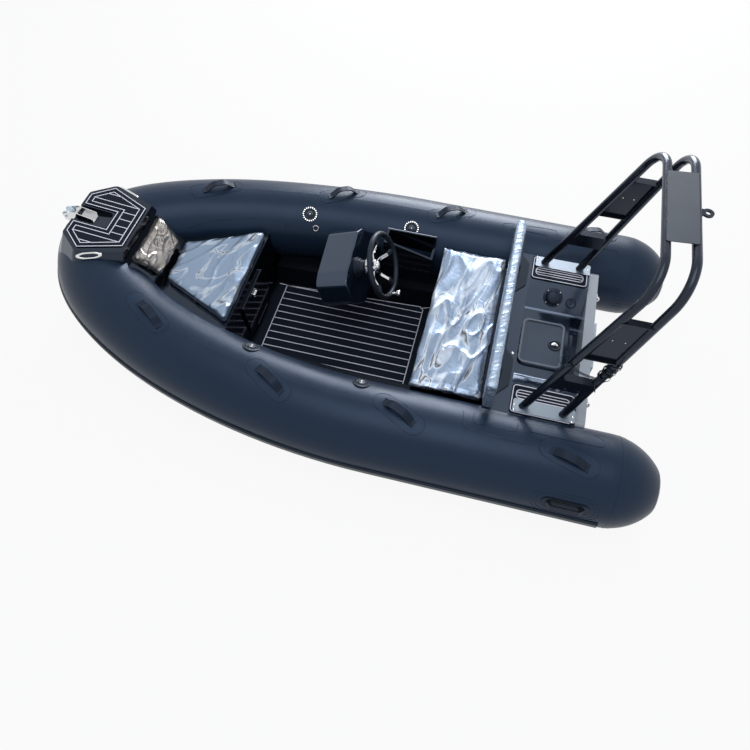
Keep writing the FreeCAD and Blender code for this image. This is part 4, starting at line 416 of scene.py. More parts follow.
CAD_FINISHES: dict[str, Finish | Film] = {
    "hull": HULL_PAINT, "cockpit_liner": FLOWCOAT, "floor_mat": DECK_FOAM,
    "tube_port": TUBE_FABRIC, "tube_starboard": TUBE_FABRIC,
    "rub_strake_port": STRAKE_RUBBER, "rub_strake_starboard": STRAKE_RUBBER,
    "bow_locker": BLACK_GELCOAT, "bow_locker_door": BLACK_GELCOAT,
    "bow_locker_latch": STAINLESS, "bow_step": BLACK_GELCOAT, "bow_step_mat": DECK_FOAM,
    "bow_roller_bracket": STAINLESS, "bow_roller": PALE_NYLON, "bow_hawses": STAINLESS,
    "bow_seat_cushion": SEAT_FILM, "bow_back_cushion": CRUMPLED_FILM,
    "console": GELCOAT_PAINTED_SKY_LIGHT, "helm_bezel": SOFT_BLACK, "wheel_grip": SOFT_BLACK,
    "wheel_spokes": STAINLESS, "wheel_knob": STAINLESS, "side_pocket": BLACK_GELCOAT,
    "bench_box": BLACK_GELCOAT, "bench_cushion": BENCH_FILM, "bench_backrest": STRIP_FILM,
    "backrest_brackets": BLACK_GELCOAT, "aft_deck": GELCOAT_PAINTED_SKY_LIGHT,
    "aft_step_mats": DECK_FOAM, "hatch_lid": SLATE_PLASTIC, "hatch_latch": SOFT_BLACK,
    "filler_cap": SOFT_BLACK, "cable_grommet": SOFT_BLACK, "transom": HULL_PAINT,
    "motor_pad": BRUSHED_ALUMINIUM, "stern_eyes": STAINLESS,
    "arch_forward_hoop": BLACK_POWDER_COAT, "arch_aft_hoop": BLACK_POWDER_COAT,
    "arch_top_plate": PALE_POWDER_COAT, "arch_leg_plates": BLACK_POWDER_COAT,
    "arch_rungs": BLACK_POWDER_COAT, "arch_base_plates": BRUSHED_ALUMINIUM,
    "tow_eye": BLACK_POWDER_COAT, "lift_handles_port": WEBBING,
    "lift_handles_starboard": WEBBING, "air_valves": STAINLESS, "carry_handles": SOFT_BLACK,
}


# Making pieces


def finish_piece(name: str, bm: bmesh.types.BMesh, look: Finish | Film, body: str = "boat",
                 crisp: float = 35.0) -> bpy.types.Object:
    """Turn a bmesh into a finished piece that rides on a body.

    Args:
        name: Name of the piece.
        bm: Its mesh in metres, in the boat's frame; freed here.
        look: Its finish.
        body: The body that carries it.
        crisp: Edges that turn more than this many degrees stay sharp.

    Returns:
        The new object.
    """
    mesh = bpy.data.meshes.new(name)
    for face in bm.faces:
        face.smooth = True
    for edge in bm.edges:
        edge.smooth = edge.calc_face_angle(0.0) < math.radians(crisp)
    bm.to_mesh(mesh)
    bm.free()
    piece = add_object(name, mesh)
    mesh.materials.append(look.material())
    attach(piece, body)
    LOG.info("%s: %d faces", name, len(mesh.polygons))
    return piece


def merge(target: bmesh.types.BMesh, part: bmesh.types.BMesh,
          place: Matrix | None = None) -> None:
    """Add one mesh to another.

    Args:
        target: The mesh that grows.
        part: The mesh that is added; freed here.
        place: Where the part goes.
    """
    if place is not None:
        bmesh.ops.transform(part, matrix=place, verts=part.verts[:])
    held = bpy.data.meshes.new("held")
    part.to_mesh(held)
    part.free()
    target.from_mesh(held)
    bpy.data.meshes.remove(held)


def facing(point: Vector, normal: Vector, along: Vector = Vector((1, 0, 0))) -> Matrix:
    """A place whose Z points along a normal and whose X lies nearest to a direction.

    Args:
        point: Where its origin is.
        normal: Where its Z points.
        along: Where its X points, as near as the normal allows.

    Returns:
        The place.
    """
    up = normal.normalized()
    side = up.cross(along).normalized()
    ahead = side.cross(up)
    return Matrix.Translation(point) @ Matrix((ahead, side, up)).transposed().to_4x4()


def turned(profile: list[tuple[float, float]], steps: int = 24) -> bmesh.types.BMesh:
    """Turn a profile about Z.

    Args:
        profile: Radius and height of each point, in metres.
        steps: Number of faces round it.

    Returns:
        The mesh, with its faces outwards.
    """
    bm = bmesh.new()
    points = [bm.verts.new((radius, 0.0, height)) for radius, height in profile]
    chain = [bm.edges.new(pair) for pair in zip(points, points[1:])]
    bmesh.ops.spin(bm, geom=points + chain, cent=(0, 0, 0), axis=(0, 0, 1),
                   angle=2 * math.pi, steps=steps, use_merge=True)
    bmesh.ops.remove_doubles(bm, verts=bm.verts[:], dist=1e-6)
    bmesh.ops.recalc_face_normals(bm, faces=bm.faces[:])
    return bm


def slab(corners: list[tuple[float, float]], thick: float, rounding: float = 0.0,
         line: float | None = None, inset: float = 0.0, segments: int = 6) -> bmesh.types.BMesh:
    """A flat plate in the XY plane, or only a line along its edge.

    Args:
        corners: Its corners in order, in metres.
        thick: Its thickness above z = 0.
        rounding: Radius of its corners.
        line: Width of the line that is kept; the whole plate where None.
        inset: How far the shape is drawn in from its corners first.
        segments: Steps of each rounded corner.

    Returns:
        The closed mesh.
    """
    bm = bmesh.new()
    face = bm.faces.new([bm.verts.new((x, y, 0.0)) for x, y in corners])
    face.normal_update()
    if face.normal.z < 0:
        face.normal_flip()
    if inset:
        rim = bmesh.ops.inset_region(bm, faces=[face], thickness=inset, use_boundary=True,
                                     use_even_offset=True)
        bmesh.ops.delete(bm, geom=rim["faces"], context="FACES")
    if rounding:
        bmesh.ops.bevel(bm, geom=bm.verts[:], offset=rounding, segments=segments, profile=0.5,
                        affect="VERTICES", material=-1)
    if line is not None:
        inner = bm.faces[:]
        bmesh.ops.inset_region(bm, faces=inner, thickness=line, use_boundary=True,
                               use_even_offset=True)
        bmesh.ops.delete(bm, geom=inner, context="FACES")
    grown = bmesh.ops.extrude_face_region(bm, geom=bm.faces[:])
    bmesh.ops.translate(bm, vec=(0, 0, thick),
                        verts=[v for v in grown["geom"] if isinstance(v, bmesh.types.BMVert)])
    bmesh.ops.recalc_face_normals(bm, faces=bm.faces[:])
    return bm


def box_corners(x0: float, x1: float, y0: float, y1: float) -> list[tuple[float, float]]:
    """The four corners of an upright rectangle."""
    return [(x0, y0), (x1, y0), (x1, y1), (x0, y1)]


def strip(start: tuple[float, float], end: tuple[float, float], width: float,
          thick: float) -> bmesh.types.BMesh:
    """A straight flat line between two points of the XY plane.

    Args:
        start: Where it starts.
        end: Where it ends.
        width: Its width.
        thick: Its thickness above z = 0.

    Returns:
        The closed mesh.
    """
    run = Vector((end[0] - start[0], end[1] - start[1]))
    bm = slab(box_corners(-run.length / 2, run.length / 2, -width / 2, width / 2), thick)
    middle = Vector(((start[0] + end[0]) / 2, (start[1] + end[1]) / 2, 0))
    turn = Matrix.Rotation(math.atan2(run.y, run.x), 4, "Z")
    bmesh.ops.transform(bm, matrix=Matrix.Translation(middle) @ turn, verts=bm.verts[:])
    return bm


def divide(bm: bmesh.types.BMesh, step: float) -> None:
    """Cut a flat mesh across both ways, so that it can follow a curved skin.

    Args:
        bm: The mesh, in the XY plane.
        step: Distance between the cuts.
    """
    for axis in (0, 1):
        normal = Vector((1, 0, 0)) if axis == 0 else Vector((0, 1, 0))
        low = min(v.co[axis] for v in bm.verts)
        high = max(v.co[axis] for v in bm.verts)
        for i in range(1, int((high - low) / step) + 1):
            bmesh.ops.bisect_plane(bm, geom=bm.verts[:] + bm.edges[:] + bm.faces[:],
                                   plane_co=normal * (low + i * step), plane_no=normal)


def bead(target: bmesh.types.BMesh, points: list[Vector], radius: float, closed: bool = False,
         smooth: bool = False) -> None:
    """Run a round bead along points.

    Args:
        target: The mesh that gets it.
        points: The points of its middle line.
        radius: Its radius.
        closed: Whether it closes on itself.
        smooth: Whether the points are the controls of a smooth line.
    """
    data = bpy.data.curves.new("held_line", "CURVE")
    data.dimensions = "3D"
    data.bevel_depth = radius
    data.bevel_resolution = 1
    data.use_fill_caps = True
    run = data.splines.new("NURBS" if smooth else "POLY")
    run.points.add(len(points) - 1)
    for spot, point in zip(run.points, points):
        spot.co = (*point, 1.0)
    if smooth:
        run.order_u = 3
        run.use_endpoint_u = True
        run.resolution_u = 6
    run.use_cyclic_u = closed
    line = add_object("held_line", data)
    bpy.context.view_layer.update()
    made = bpy.data.meshes.new_from_object(line.evaluated_get(
        bpy.context.evaluated_depsgraph_get()))
    target.from_mesh(made)
    bpy.data.meshes.remove(made)
    bpy.data.objects.remove(line)
    bpy.data.curves.remove(data)


def dress_cad_nodes() -> None:
    """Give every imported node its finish."""
    for name, node in frame["nodes"].items():
        node.data.materials.clear()
        node.data.materials.append(CAD_FINISHES[name].material())


@dataclass
class TubeSkin:
    """The run of the tubes, as a surface that other pieces lie on.

    Attributes:
        offset: Tube centre from the centreline.
        height: Tube centre above the waterline, amidships.
        rise: Climb of the centre to the bow.
        bend: Where the tubes start to close in.
        bow: Foremost point of the centre line.
        radius: Tube radius amidships.
        bow_radius: Tube radius at the bow.
        power: How square the tubes close in.
        cone_start: Where the stern cone starts.
        cone_sweep: Radius of the cone's outline.
    """

    offset: float = 0.646
    height: float = 0.208
    rise: float = 0.136
    bend: float = 0.943
    bow: float = 2.645
    radius: float = 0.215
    bow_radius: float = 0.199
    power: float = 2 / 1.862
    cone_start: float = -0.125
    cone_sweep: float = 0.2924

    def run(self, x: float) -> tuple[Vector, Vector, float]:
        """The port tube's middle line at a station.

        Args:
            x: Station along the boat.

        Returns:
            Centre, direction and radius of the tube.
        """
        if x <= self.bend:
            lean = min(max(self.cone_start - x, 0.0) / self.cone_sweep, 0.8)
            drop = self.cone_sweep * (1 - math.sqrt(1 - lean ** 2))
            return Vector((x, self.offset, self.height)), Vector((1, 0, 0)), self.radius - drop
        ahead = min((x - self.bend) / (self.bow - self.bend), 1.0)
        across = max(math.sqrt(1 - ahead ** 2), 1e-6)
        length = self.bow - self.bend
        centre = Vector((x, self.offset * across ** self.power,
                         self.height + self.rise * ahead ** 2))
        radius = self.radius + (self.bow_radius - self.radius) * ahead ** 2
        direction = Vector((length * across,
                            -self.offset * self.power * across ** (self.power - 1) * ahead,
                            2 * self.rise * ahead * across))
        return centre, direction.normalized(), radius

    def at(self, x: float, around: float, lift: float = 0.0, side: int = 1) -> Vector:
        """A point on the skin.

        Args:
            x: Station of the centre line.
            around: Degrees round the tube: 0 outboard, 90 up, 180 inboard.
            lift: Distance off the skin.
            side: 1 for port, -1 for starboard.

        Returns:
            The point, in the boat's frame.
        """
        centre, direction, radius = self.run(x)
        outward = Vector((0, 0, 1)).cross(direction).normalized()
        upward = direction.cross(outward)
        angle = math.radians(around)
        point = centre + (outward * math.cos(angle) + upward * math.sin(angle)) * (radius + lift)
        return Vector((point.x, point.y * side, point.z))

    def place(self, x: float, around: float, side: int) -> Matrix:
        """A place on the skin whose Z points off it and whose X points forward.

        Args:
            x: Station of the centre line.
            around: Degrees round the tube.
            side: 1 for port, -1 for starboard.

        Returns:
            The place.
        """
        point = self.at(x, around, 0.0, side)
        ahead = self.at(x + 0.01, around, 0.0, side) - point
        return facing(point, self.at(x, around, 0.1, side) - point, ahead)

    def wrap(self, target: bmesh.types.BMesh, flat: bmesh.types.BMesh, x: float, around: float,
             side: int, skew: float = 0.0, step: float = 0.012) -> None:
        """Bend a flat shape onto the skin.

        Args:
            target: The mesh that gets it.
            flat: The shape: X along the tube, Y round it towards the inside, Z off the skin.
            x: Station of its origin.
            around: Degrees round the tube of its origin.
            side: 1 for port, -1 for starboard.
            skew: Degrees that its forward end turns inboard.
            step: Size of its faces after it is cut.
        """
        divide(flat, step)
        _, direction, radius = self.run(x)
        turn = math.radians(skew)
        for vertex in flat.verts:
            u, w, lift = vertex.co
            ahead = u * math.cos(turn) - w * math.sin(turn)
            inboard = u * math.sin(turn) + w * math.cos(turn)
            vertex.co = self.at(x + ahead * max(direction.x, 0.2),
                                around + math.degrees(inboard / radius), lift, side)
        bmesh.ops.recalc_face_normals(flat, faces=flat.faces[:])
        merge(target, flat)

    def trace(self, spots: list[tuple[float, float]], side: int, closed: bool = False,
              parts: int = 6) -> list[Vector]:
        """Points on the skin along a line.

        Args:
            spots: Station and degrees of each corner of the line.
            side: 1 for port, -1 for starboard.
            closed: Whether it closes on itself.
            parts: Points to each stretch between two corners.

        Returns:
            The points, in the boat's frame.
        """
        ends = spots[1:] + spots[:1] if closed else spots[1:]
        points = [self.at(a[0] + (b[0] - a[0]) * i / parts, a[1] + (b[1] - a[1]) * i / parts,
                          0.0, side) for a, b in zip(spots, ends) for i in range(parts)]
        return points if closed else points + [self.at(*spots[-1], 0.0, side)]


SKIN = TubeSkin()
SIDES = (("port", 1), ("starboard", -1))


# Sub-assemblies


@dataclass
class TubeDressing:
    """Patches, tapes and seams glued on the air tubes.

    Attributes:
        handle_spots: Station, degrees round the tube and skew of each lifting handle.
        handle_reach: From a handle's middle to the middle of each end patch.
        end_radius: Radius of a round end patch.
        under_patch: Thickness of the long patch under a handle.
        end_layers: Share of the end radius and thickness of each round patch.
        seam_margin: From a long patch's edge to the seam round it.
        seam: Radius of the bead that a taped edge shows.
        carry_spot: Station and degrees of the moulded carry handle.
        carry_outlines: Half length and half width of each seam round it.
        bow_seam: The seam round the inside of the tube beside the bow seat.
        stern_patches: Edges of the doubled patches above the stern deck.
        stern_band: The two ends of the ribbed band on the inside of the stern.
        band_lines: Degrees of that band's lines.
        tape_section: Station and height off the skin of each point of the cone's tape.
    """

    handle_spots: tuple[tuple[float, float, float], ...] = (
        (2.150, 89.0, 14.0), (1.465, 82.0, 25.0), (0.835, 86.5, 27.0), (0.065, 78.0, 16.0))
    handle_reach: float = 0.088
    end_radius: float = 0.048
    under_patch: float = 0.0010
    end_layers: tuple[tuple[float, float], ...] = ((0.92, 0.0018), (0.54, 0.0027))
    seam_margin: float = 0.004
    seam: float = 0.0011
    carry_spot: tuple[float, float] = (0.038, 16.8)
    carry_outlines: tuple[tuple[float, float], ...] = ((0.150, 0.068), (0.132, 0.054))
    bow_seam: tuple[tuple[float, float], ...] = (
        (2.356, 158.6), (2.223, 146.5), (2.091, 141.6), (1.939, 138.2), (1.794, 139.5),
        (1.765, 142.0), (1.762, 149.0), (1.773, 154.0))
    stern_patches: tuple[tuple[tuple[float, float], ...], ...] = (
        ((0.503, 111.0), (0.503, 97.0), (0.494, 95.2), (0.312, 95.2), (0.303, 97.0),
         (0.303, 111.0)),
        ((0.551, 111.0), (0.545, 88.0), (0.529, 85.4), (0.341, 81.9), (0.262, 82.1),
         (0.255, 84.0), (0.252, 99.0)),
        ((0.252, 100.0), (-0.060, 100.0), (-0.076, 102.0), (-0.083, 106.0), (-0.078, 112.0),
         (-0.062, 117.0), (-0.040, 122.0)))
    stern_band: tuple[float, float] = (-0.112, -0.262)
    band_lines: tuple[float, ...] = (167.0, 173.5, 180.0, 186.0)
    tape_section: tuple[tuple[float, float], ...] = (
        (-0.161, -0.001), (-0.162, 0.0009), (-0.188, 0.0009), (-0.189, -0.001))

    def build(self) -> None:
        """Lay everything that is glued on both tubes."""
        for word, side in SIDES:
            self.handle_patches(word, side)
            self.seams(word, side)
            self.cone_tape(word, side)

    def handle_patches(self, word: str, side: int) -> None:
        """A long patch under each strap handle and two round patches over its ends.

        Args:
            word: Name of the side.
            side: 1 for port, -1 for starboard.
        """
        bm = bmesh.new()
        reach, radius = self.handle_reach, self.end_radius
        for x, around, skew in self.handle_spots:
            half = reach + radius
            under = slab(box_corners(-half, half, -radius, radius), self.under_patch,
                         radius * 0.98)
            SKIN.wrap(bm, under, x, around, side, skew)
            for end in (-reach, reach):
                for share, thick in self.end_layers:
                    size = radius * share
                    disc = slab(box_corners(end - size, end + size, -size, size), thick,
                                size * 0.98)
                    SKIN.wrap(bm, disc, x, around, side, skew)
        finish_piece("handle_patches_" + word, bm, PATCH_FABRIC, crisp=50)

    def stadium(self, x: float, around: float, half: float, width: float,
                skew: float = 0.0) -> list[tuple[float, float]]:
        """The outline of a patch with round ends.

        Args:
            x: Station of its middle.
            around: Degrees round the tube of its middle.
            half: Half its length.
            width: Half its width.
            skew: Degrees that its forward end turns inboard.

        Returns:
            Station and degrees of each point.
        """
        spots = []
        turn = math.radians(skew)
        for end in (1, -1):
            for i in range(9):
                angle = math.radians(-90 + 180 * i / 8) + (0 if end > 0 else math.pi)
                u = end * (half - width) + width * math.cos(angle)
                w = width * math.sin(angle)
                spots.append((x + u * math.cos(turn) - w * math.sin(turn),
                              around + math.degrees((u * math.sin(turn) + w * math.cos(turn))
                                                    / SKIN.radius)))
        return spots

    def seams(self, word: str, side: int) -> None:
        """Raised edges of the tapes and doubled patches.

        Args:
            word: Name of the side.
            side: 1 for port, -1 for starboard.
        """
        bm = bmesh.new()
        width = self.end_radius + self.seam_margin
        for x, around, skew in self.handle_spots:
            outline = self.stadium(x, around, self.handle_reach + width, width, skew)
            bead(bm, SKIN.trace(outline, side, True, 2), self.seam, True)
        for half, width in self.carry_outlines:
            outline = self.stadium(*self.carry_spot, half, width)
            bead(bm, SKIN.trace(outline, side, True, 2), self.seam * 1.3, True)
        bead(bm, SKIN.trace(list(self.bow_seam), side), self.seam * 1.2)
        for outline in self.stern_patches:
            bead(bm, SKIN.trace(list(outline), side), self.seam * 1.3)
        lines, ends = self.band_lines, self.stern_band
        for around in lines:
            bead(bm, SKIN.trace([(end, around) for end in ends], side), self.seam)
        for end in ends:
            bead(bm, SKIN.trace([(end, lines[0]), (end, lines[-1])], side), self.seam)
        finish_piece("tube_seams_" + word, bm, PATCH_FABRIC, crisp=60)

    def cone_tape(self, word: str, side: int) -> None:
        """The tape over the joint between tube and stern cone.

        Args:
            word: Name of the side.
            side: 1 for port, -1 for starboard.
        """
        bm = bmesh.new()
        points = []
        for x, lift in self.tape_section:
            centre, _, radius = SKIN.run(x)
            points.append(bm.verts.new((x, centre.y * side, centre.z + radius + lift)))
        chain = [bm.edges.new(pair) for pair in zip(points, points[1:])]
        bmesh.ops.spin(bm, geom=points + chain, cent=(0, SKIN.offset * side, SKIN.height),
                       axis=(1, 0, 0), angle=2 * math.pi, steps=96, use_merge=True)
        bmesh.ops.remove_doubles(bm, verts=bm.verts[:], dist=1e-6)
        bmesh.ops.recalc_face_normals(bm, faces=bm.faces[:])
        finish_piece("cone_tape_" + word, bm, TUBE_FABRIC, crisp=50)


@dataclass
class AirValves:
    """Flush inflation valves and the relief valve.

    Attributes:
        spots: Side, station and degrees round the tube of each valve.
        radius: Radius of a valve's flange.
        relief: Station and degrees of the relief valve, to starboard.
        slots: Number of bright windows round the flange.
    """

    spots: tuple[tuple[int, float, float], ...] = (
        (1, 1.633, 122.6), (1, 1.045, 121.9), (-1, 1.630, 125.2), (-1, 1.036, 124.5))
    radius: float = 0.042
    relief: tuple[float, float] = (1.589, 145.0)
    slots: int = 20

    def build(self) -> None:
        """Make the dark valve bodies and their bright rings."""
        dark, bright = bmesh.new(), bmesh.new()
        r = self.radius
        for side, x, around in self.spots:
            place = SKIN.place(x, around, side)
            body = turned([(0, 0.0085), (r * 0.40, 0.0085), (r * 0.46, 0.0070), (r * 0.48, 0.0045),
                           (r * 0.62, 0.0045), (r * 0.68, 0.0062), (r * 0.74, 0.0045),
                           (r * 0.97, 0.0035), (r, 0.0022), (r, -0.010), (0, -0.010)], 48)
            merge(dark, body, place)
            for i in range(self.slots):
                window = slab(box_corners(r * 0.80, r * 0.95, -r * 0.060, r * 0.060), 0.0052,
                              0.0008, segments=2)
                turn = Matrix.Rotation(2 * math.pi * i / self.slots, 4, "Z")
                merge(bright, window, place @ turn)
            merge(bright, turned([(0, 0.0104), (r * 0.06, 0.0100), (r * 0.10, 0.0085),
                                  (r * 0.10, 0.006), (0, 0.006)], 24), place)
            merge(bright, turned([(r * 0.30, 0.0082), (r * 0.325, 0.0094), (r * 0.35, 0.0082),
                                  (r * 0.325, 0.0070), (r * 0.30, 0.0082)], 32), place)
        place = SKIN.place(*self.relief, -1)
        merge(dark, turned([(0, 0.0045), (0.010, 0.0045), (0.012, 0.0062), (0.017, 0.0055),
                            (0.020, 0.0025), (0.020, -0.008), (0, -0.008)], 32), place)
        merge(bright, turned([(0.0120, 0.0058), (0.0145, 0.0076), (0.0172, 0.0054),
                              (0.0145, 0.0040), (0.0120, 0.0058)], 32), place)
        piece = finish_piece("valve_bodies", dark, SOFT_BLACK)
        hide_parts("air_valves")
        finish_piece("valve_rings", bright, STAINLESS)


@dataclass
class DeckMats:
    """Routed lines of the foam mats.

    Attributes:
        line: Width of the routed lines.
        thick: How far the pale layer stands in the routed line.
        sink: How far a line's underside lies below the mat's top.
        floor_pitch: Distance between the lengthwise lines of the cockpit mat.
        floor_halves: Half widths of the cockpit mat at its aft and forward ends.
        floor_margin: From the cockpit mat's side to its border line.
        floor_ends: Stations of the border line's aft and forward ends.
        corner_cut: Size of the border's cut aft corners.
        bow_outline: Corners of the bow mat's port half, from aft to the notch.
        bow_insets: How far the two outlines lie inside the bow mat's edge.
        bow_bars: Distance off the centreline and both ends of each line of the bow mat.
        bow_aft: Station and height of the bow mat's top at its aft edge.
        bow_slope: Climb of the bow mat.
        step_frame: Box of a step mat's inner frame: both stations, both distances off centre.
        step_bars: Distances off the centreline of the lines inside that frame.
        step_bar_ends: Stations of those lines' ends.
    """

    line: float = 0.0042
    thick: float = 0.0005
    sink: float = 0.0001
    floor_pitch: float = 0.048
    floor_halves: tuple[float, float] = (0.291, 0.246)
    floor_margin: float = 0.006
    floor_ends: tuple[float, float] = (0.886, 1.689)
    corner_cut: float = 0.022
    bow_outline: tuple[tuple[float, float], ...] = (
        (2.388, 0.142), (2.595, 0.225), (2.692, 0.138), (2.692, 0.062), (2.515, 0.062))
    bow_insets: tuple[float, float] = (0.003, 0.027)
    bow_bars: tuple[tuple[float, float, float], ...] = (
        (0.0245, 2.418, 2.488), (0.0735, 2.418, 2.488), (0.1225, 2.418, 2.667),
        (0.1715, 2.532, 2.612))
    bow_aft: tuple[float, float] = (2.374, 0.551)
    bow_slope: float = 38 / 332
    step_frame: tuple[float, float, float, float] = (0.081, 0.331, 0.370, 0.422)
    step_bars: tuple[float, float] = (0.388, 0.405)
    step_bar_ends: tuple[float, float] = (0.084, 0.328)

    def build(self) -> None:
        """Line the cockpit mat, the bow mat and the step mats."""
        self.floor_lines()
        self.bow_lines()
        self.step_lines()

    def floor_lines(self) -> None:
        """Border, corner lines and lengthwise lines of the cockpit mat."""
        low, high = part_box("floor_mat")
        aft_half, fwd_half = self.floor_halves

        def half(x: float) -> float:
            """Half width of the border line at a station."""
            share = (x - low.x) / (high.x - low.x)
            return aft_half + (fwd_half - aft_half) * share - self.floor_margin

        (x0, x1), cut = self.floor_ends, self.corner_cut
        port = [(x1, half(x1)), (x0 + cut, half(x0 + cut)), (x0, half(x0) - cut)]
        bm = slab(port + [(x, -y) for x, y in reversed(port)], self.thick, line=self.line)
        for i in range(-5, 6):
            y = i * self.floor_pitch
            merge(bm, strip((x0, y), (x1, y), self.line, self.thick))
        for side in (-1, 1):
            merge(bm, strip((x1, half(x1) * side), (high.x - 0.002, (fwd_half - 0.002) * side),
                            self.line, self.thick))
            merge(bm, strip((x0 + cut / 2, (half(x0) - cut / 2) * side),
                            (low.x + 0.002, (aft_half - 0.002) * side), self.line, self.thick))
        bmesh.ops.translate(bm, vec=(0, 0, high.z - self.sink), verts=bm.verts[:])
        finish_piece("floor_mat_lines", bm, FOAM_LINE)

    def bow_lines(self) -> None:
        """Two nested outlines and the lines between them on the sloping bow mat."""
        whole = list(self.bow_outline) + [(x, -y) for x, y in reversed(self.bow_outline)]
        bm = bmesh.new()
        for inset in self.bow_insets:
            merge(bm, slab(whole, self.thick, line=self.line, inset=inset))
        for y, x0, x1 in self.bow_bars:
            for side in (-1, 1):
                merge(bm, strip((x0, y * side), (x1, y * side), self.line, self.thick))
        aft, height = self.bow_aft
        for vertex in bm.verts:
            vertex.co.z += height + (vertex.co.x - aft) * self.bow_slope - self.sink
        finish_piece("bow_mat_lines", bm, FOAM_LINE)

    def step_lines(self) -> None:
        """Border and inner rounded frame of both step mats."""
        low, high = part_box("aft_step_mats")
        points = [abs(v.co.y) for v in frame["nodes"]["aft_step_mats"].data.vertices]
        inner, outer = min(points), max(points)
        bm = bmesh.new()
        for side in (-1, 1):
            border = box_corners(low.x, high.x, inner, outer)
            frame_in = box_corners(*self.step_frame)
            for corners, rounding, inset in ((border, 0.018, 0.004), (frame_in, 0.020, 0.0)):
                spots = [(x, y * side) for x, y in corners]
                merge(bm, slab(spots, self.thick, rounding, self.line, inset))
            for y in self.step_bars:
                ends = [(x, y * side) for x in self.step_bar_ends]
                merge(bm, strip(*ends, self.line, self.thick))
        bmesh.ops.translate(bm, vec=(0, 0, high.z - self.sink), verts=bm.verts[:])
        finish_piece("step_mat_lines", bm, FOAM_LINE)


@dataclass
class SternFittings:
    """Screws, bolts and trim of the stern deck.

    Attributes:
        head: Radius of a screw's head.
        plate_bolts: Places of the bolts through the arch's base plates, port side.
        bracket_bolts: Places of the bolts beside the backrest brackets.
        cap_slope: Direction off the well's side, on which the filler cap sits.
        cap_bolts: Radius of the ring of screws round the filler cap.
        latch_top: Height of the hatch latch's middle.
        rim_inset: From the lid's edge to the rim.
        rim_width: Width of the rim.
        rim_thick: How far the rim stands up.
        rim_corner: Radius of the rim's corners.
    """

    head: float = 0.0048
    plate_bolts: tuple[tuple[float, float], ...] = (
        (0.332, 0.491), (0.332, 0.464), (0.066, 0.491), (0.064, 0.464))
    bracket_bolts: tuple[tuple[float, float], ...] = (
        (0.376, -0.389), (0.379, -0.327), (0.377, 0.167), (0.376, 0.231))
    cap_slope: tuple[float, float, float] = (0, 0.1, 0.12)
    cap_bolts: float = 0.0445
    latch_top: float = 0.288
    rim_inset: float = 0.006
    rim_width: float = 0.010
    rim_thick: float = 0.0022
    rim_corner: float = 0.030

    def screw(self, target: bmesh.types.BMesh, point: Vector, normal: Vector,
              radius: float) -> None:
        """One domed screw head.

        Args:
            target: The mesh that gets it.
            point: Where its seat is.
            normal: Where it points.
            radius: Its radius.
        """
        head = turned([(0, radius * 0.62), (radius * 0.55, radius * 0.52),
                       (radius, radius * 0.12), (radius, -0.002), (0, -0.002)], 16)
        merge(target, head, facing(point, normal))

    def build(self) -> None:
        """Make the fasteners and the hatch's rim."""
        self.fasteners()
        self.hatch_trim()

    def fasteners(self) -> None:
        """Bright screws on the deck, the cap, the brackets and the base plates."""
        bm = bmesh.new()
        up = Vector((0, 0, 1))
        plate_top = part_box("arch_base_plates")[1].z
        for side in (-1, 1):
            for x, y in self.plate_bolts:
                self.screw(bm, Vector((x, y * side, plate_top)), up, self.head * 1.1)
        deck_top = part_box("aft_deck")[1].z
        for x, y in self.bracket_bolts:
            self.screw(bm, Vector((x, y, deck_top)), up, self.head * 1.5)
        slope = Vector(self.cap_slope).normalized()
        low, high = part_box("filler_cap")
        centre = (low + high) / 2
        along = Vector((1, 0, 0))
        across = slope.cross(along)
        for i in range(4):
            angle = math.radians(45 + 90 * i)
            outward = along * math.cos(angle) + across * math.sin(angle)
            spot = centre + outward * self.cap_bolts
            self.screw(bm, spot + slope * 0.004, slope, self.head * 0.7)
        finish_piece("deck_fasteners", bm, STAINLESS)

    def hatch_trim(self) -> None:
        """The rim that runs round the hatch's lid, and the latch's dish and paddle."""
        low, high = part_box("hatch_lid")
        edge = self.rim_inset
        rim = slab(box_corners(low.x + edge, high.x - edge, low.y + edge, high.y - edge),
                   self.rim_thick, self.rim_corner, self.rim_width)
        bmesh.ops.translate(rim, vec=(0, 0, high.z - 0.0002), verts=rim.verts[:])
        finish_piece("hatch_rim", rim, GREY_GELCOAT, "hatch")
        low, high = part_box("hatch_latch")
        centre = Vector(((low.x + high.x) / 2, 0, self.latch_top))
        dish = turned([(0, -0.0055), (0.020, -0.0055), (0.025, 0.0005), (0.0285, 0.0018),
                       (0.032, 0.0005), (0.032, -0.0065), (0, -0.0065)], 40)
        bmesh.ops.translate(dish, vec=centre, verts=dish.verts[:])
        piece = finish_piece("hatch_latch_dish", dish, SOFT_BLACK, "hatch")
        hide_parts("hatch_latch")
        paddle = turned([(0, 0.0020), (0.010, 0.0016), (0.016, -0.0006), (0.0185, -0.0045),
                         (0, -0.0050)], 32)
        bmesh.ops.bisect_plane(paddle, geom=paddle.verts[:] + paddle.edges[:] + paddle.faces[:],
                               plane_co=(0, 0.002, 0), plane_no=(0, 1, 0), clear_outer=True)
        bmesh.ops.holes_fill(paddle, edges=[e for e in paddle.edges if e.is_boundary], sides=0)
        bmesh.ops.recalc_face_normals(paddle, faces=paddle.faces[:])
        bmesh.ops.translate(paddle, vec=centre, verts=paddle.verts[:])
        finish_piece("hatch_paddle", paddle, STAINLESS, "hatch")


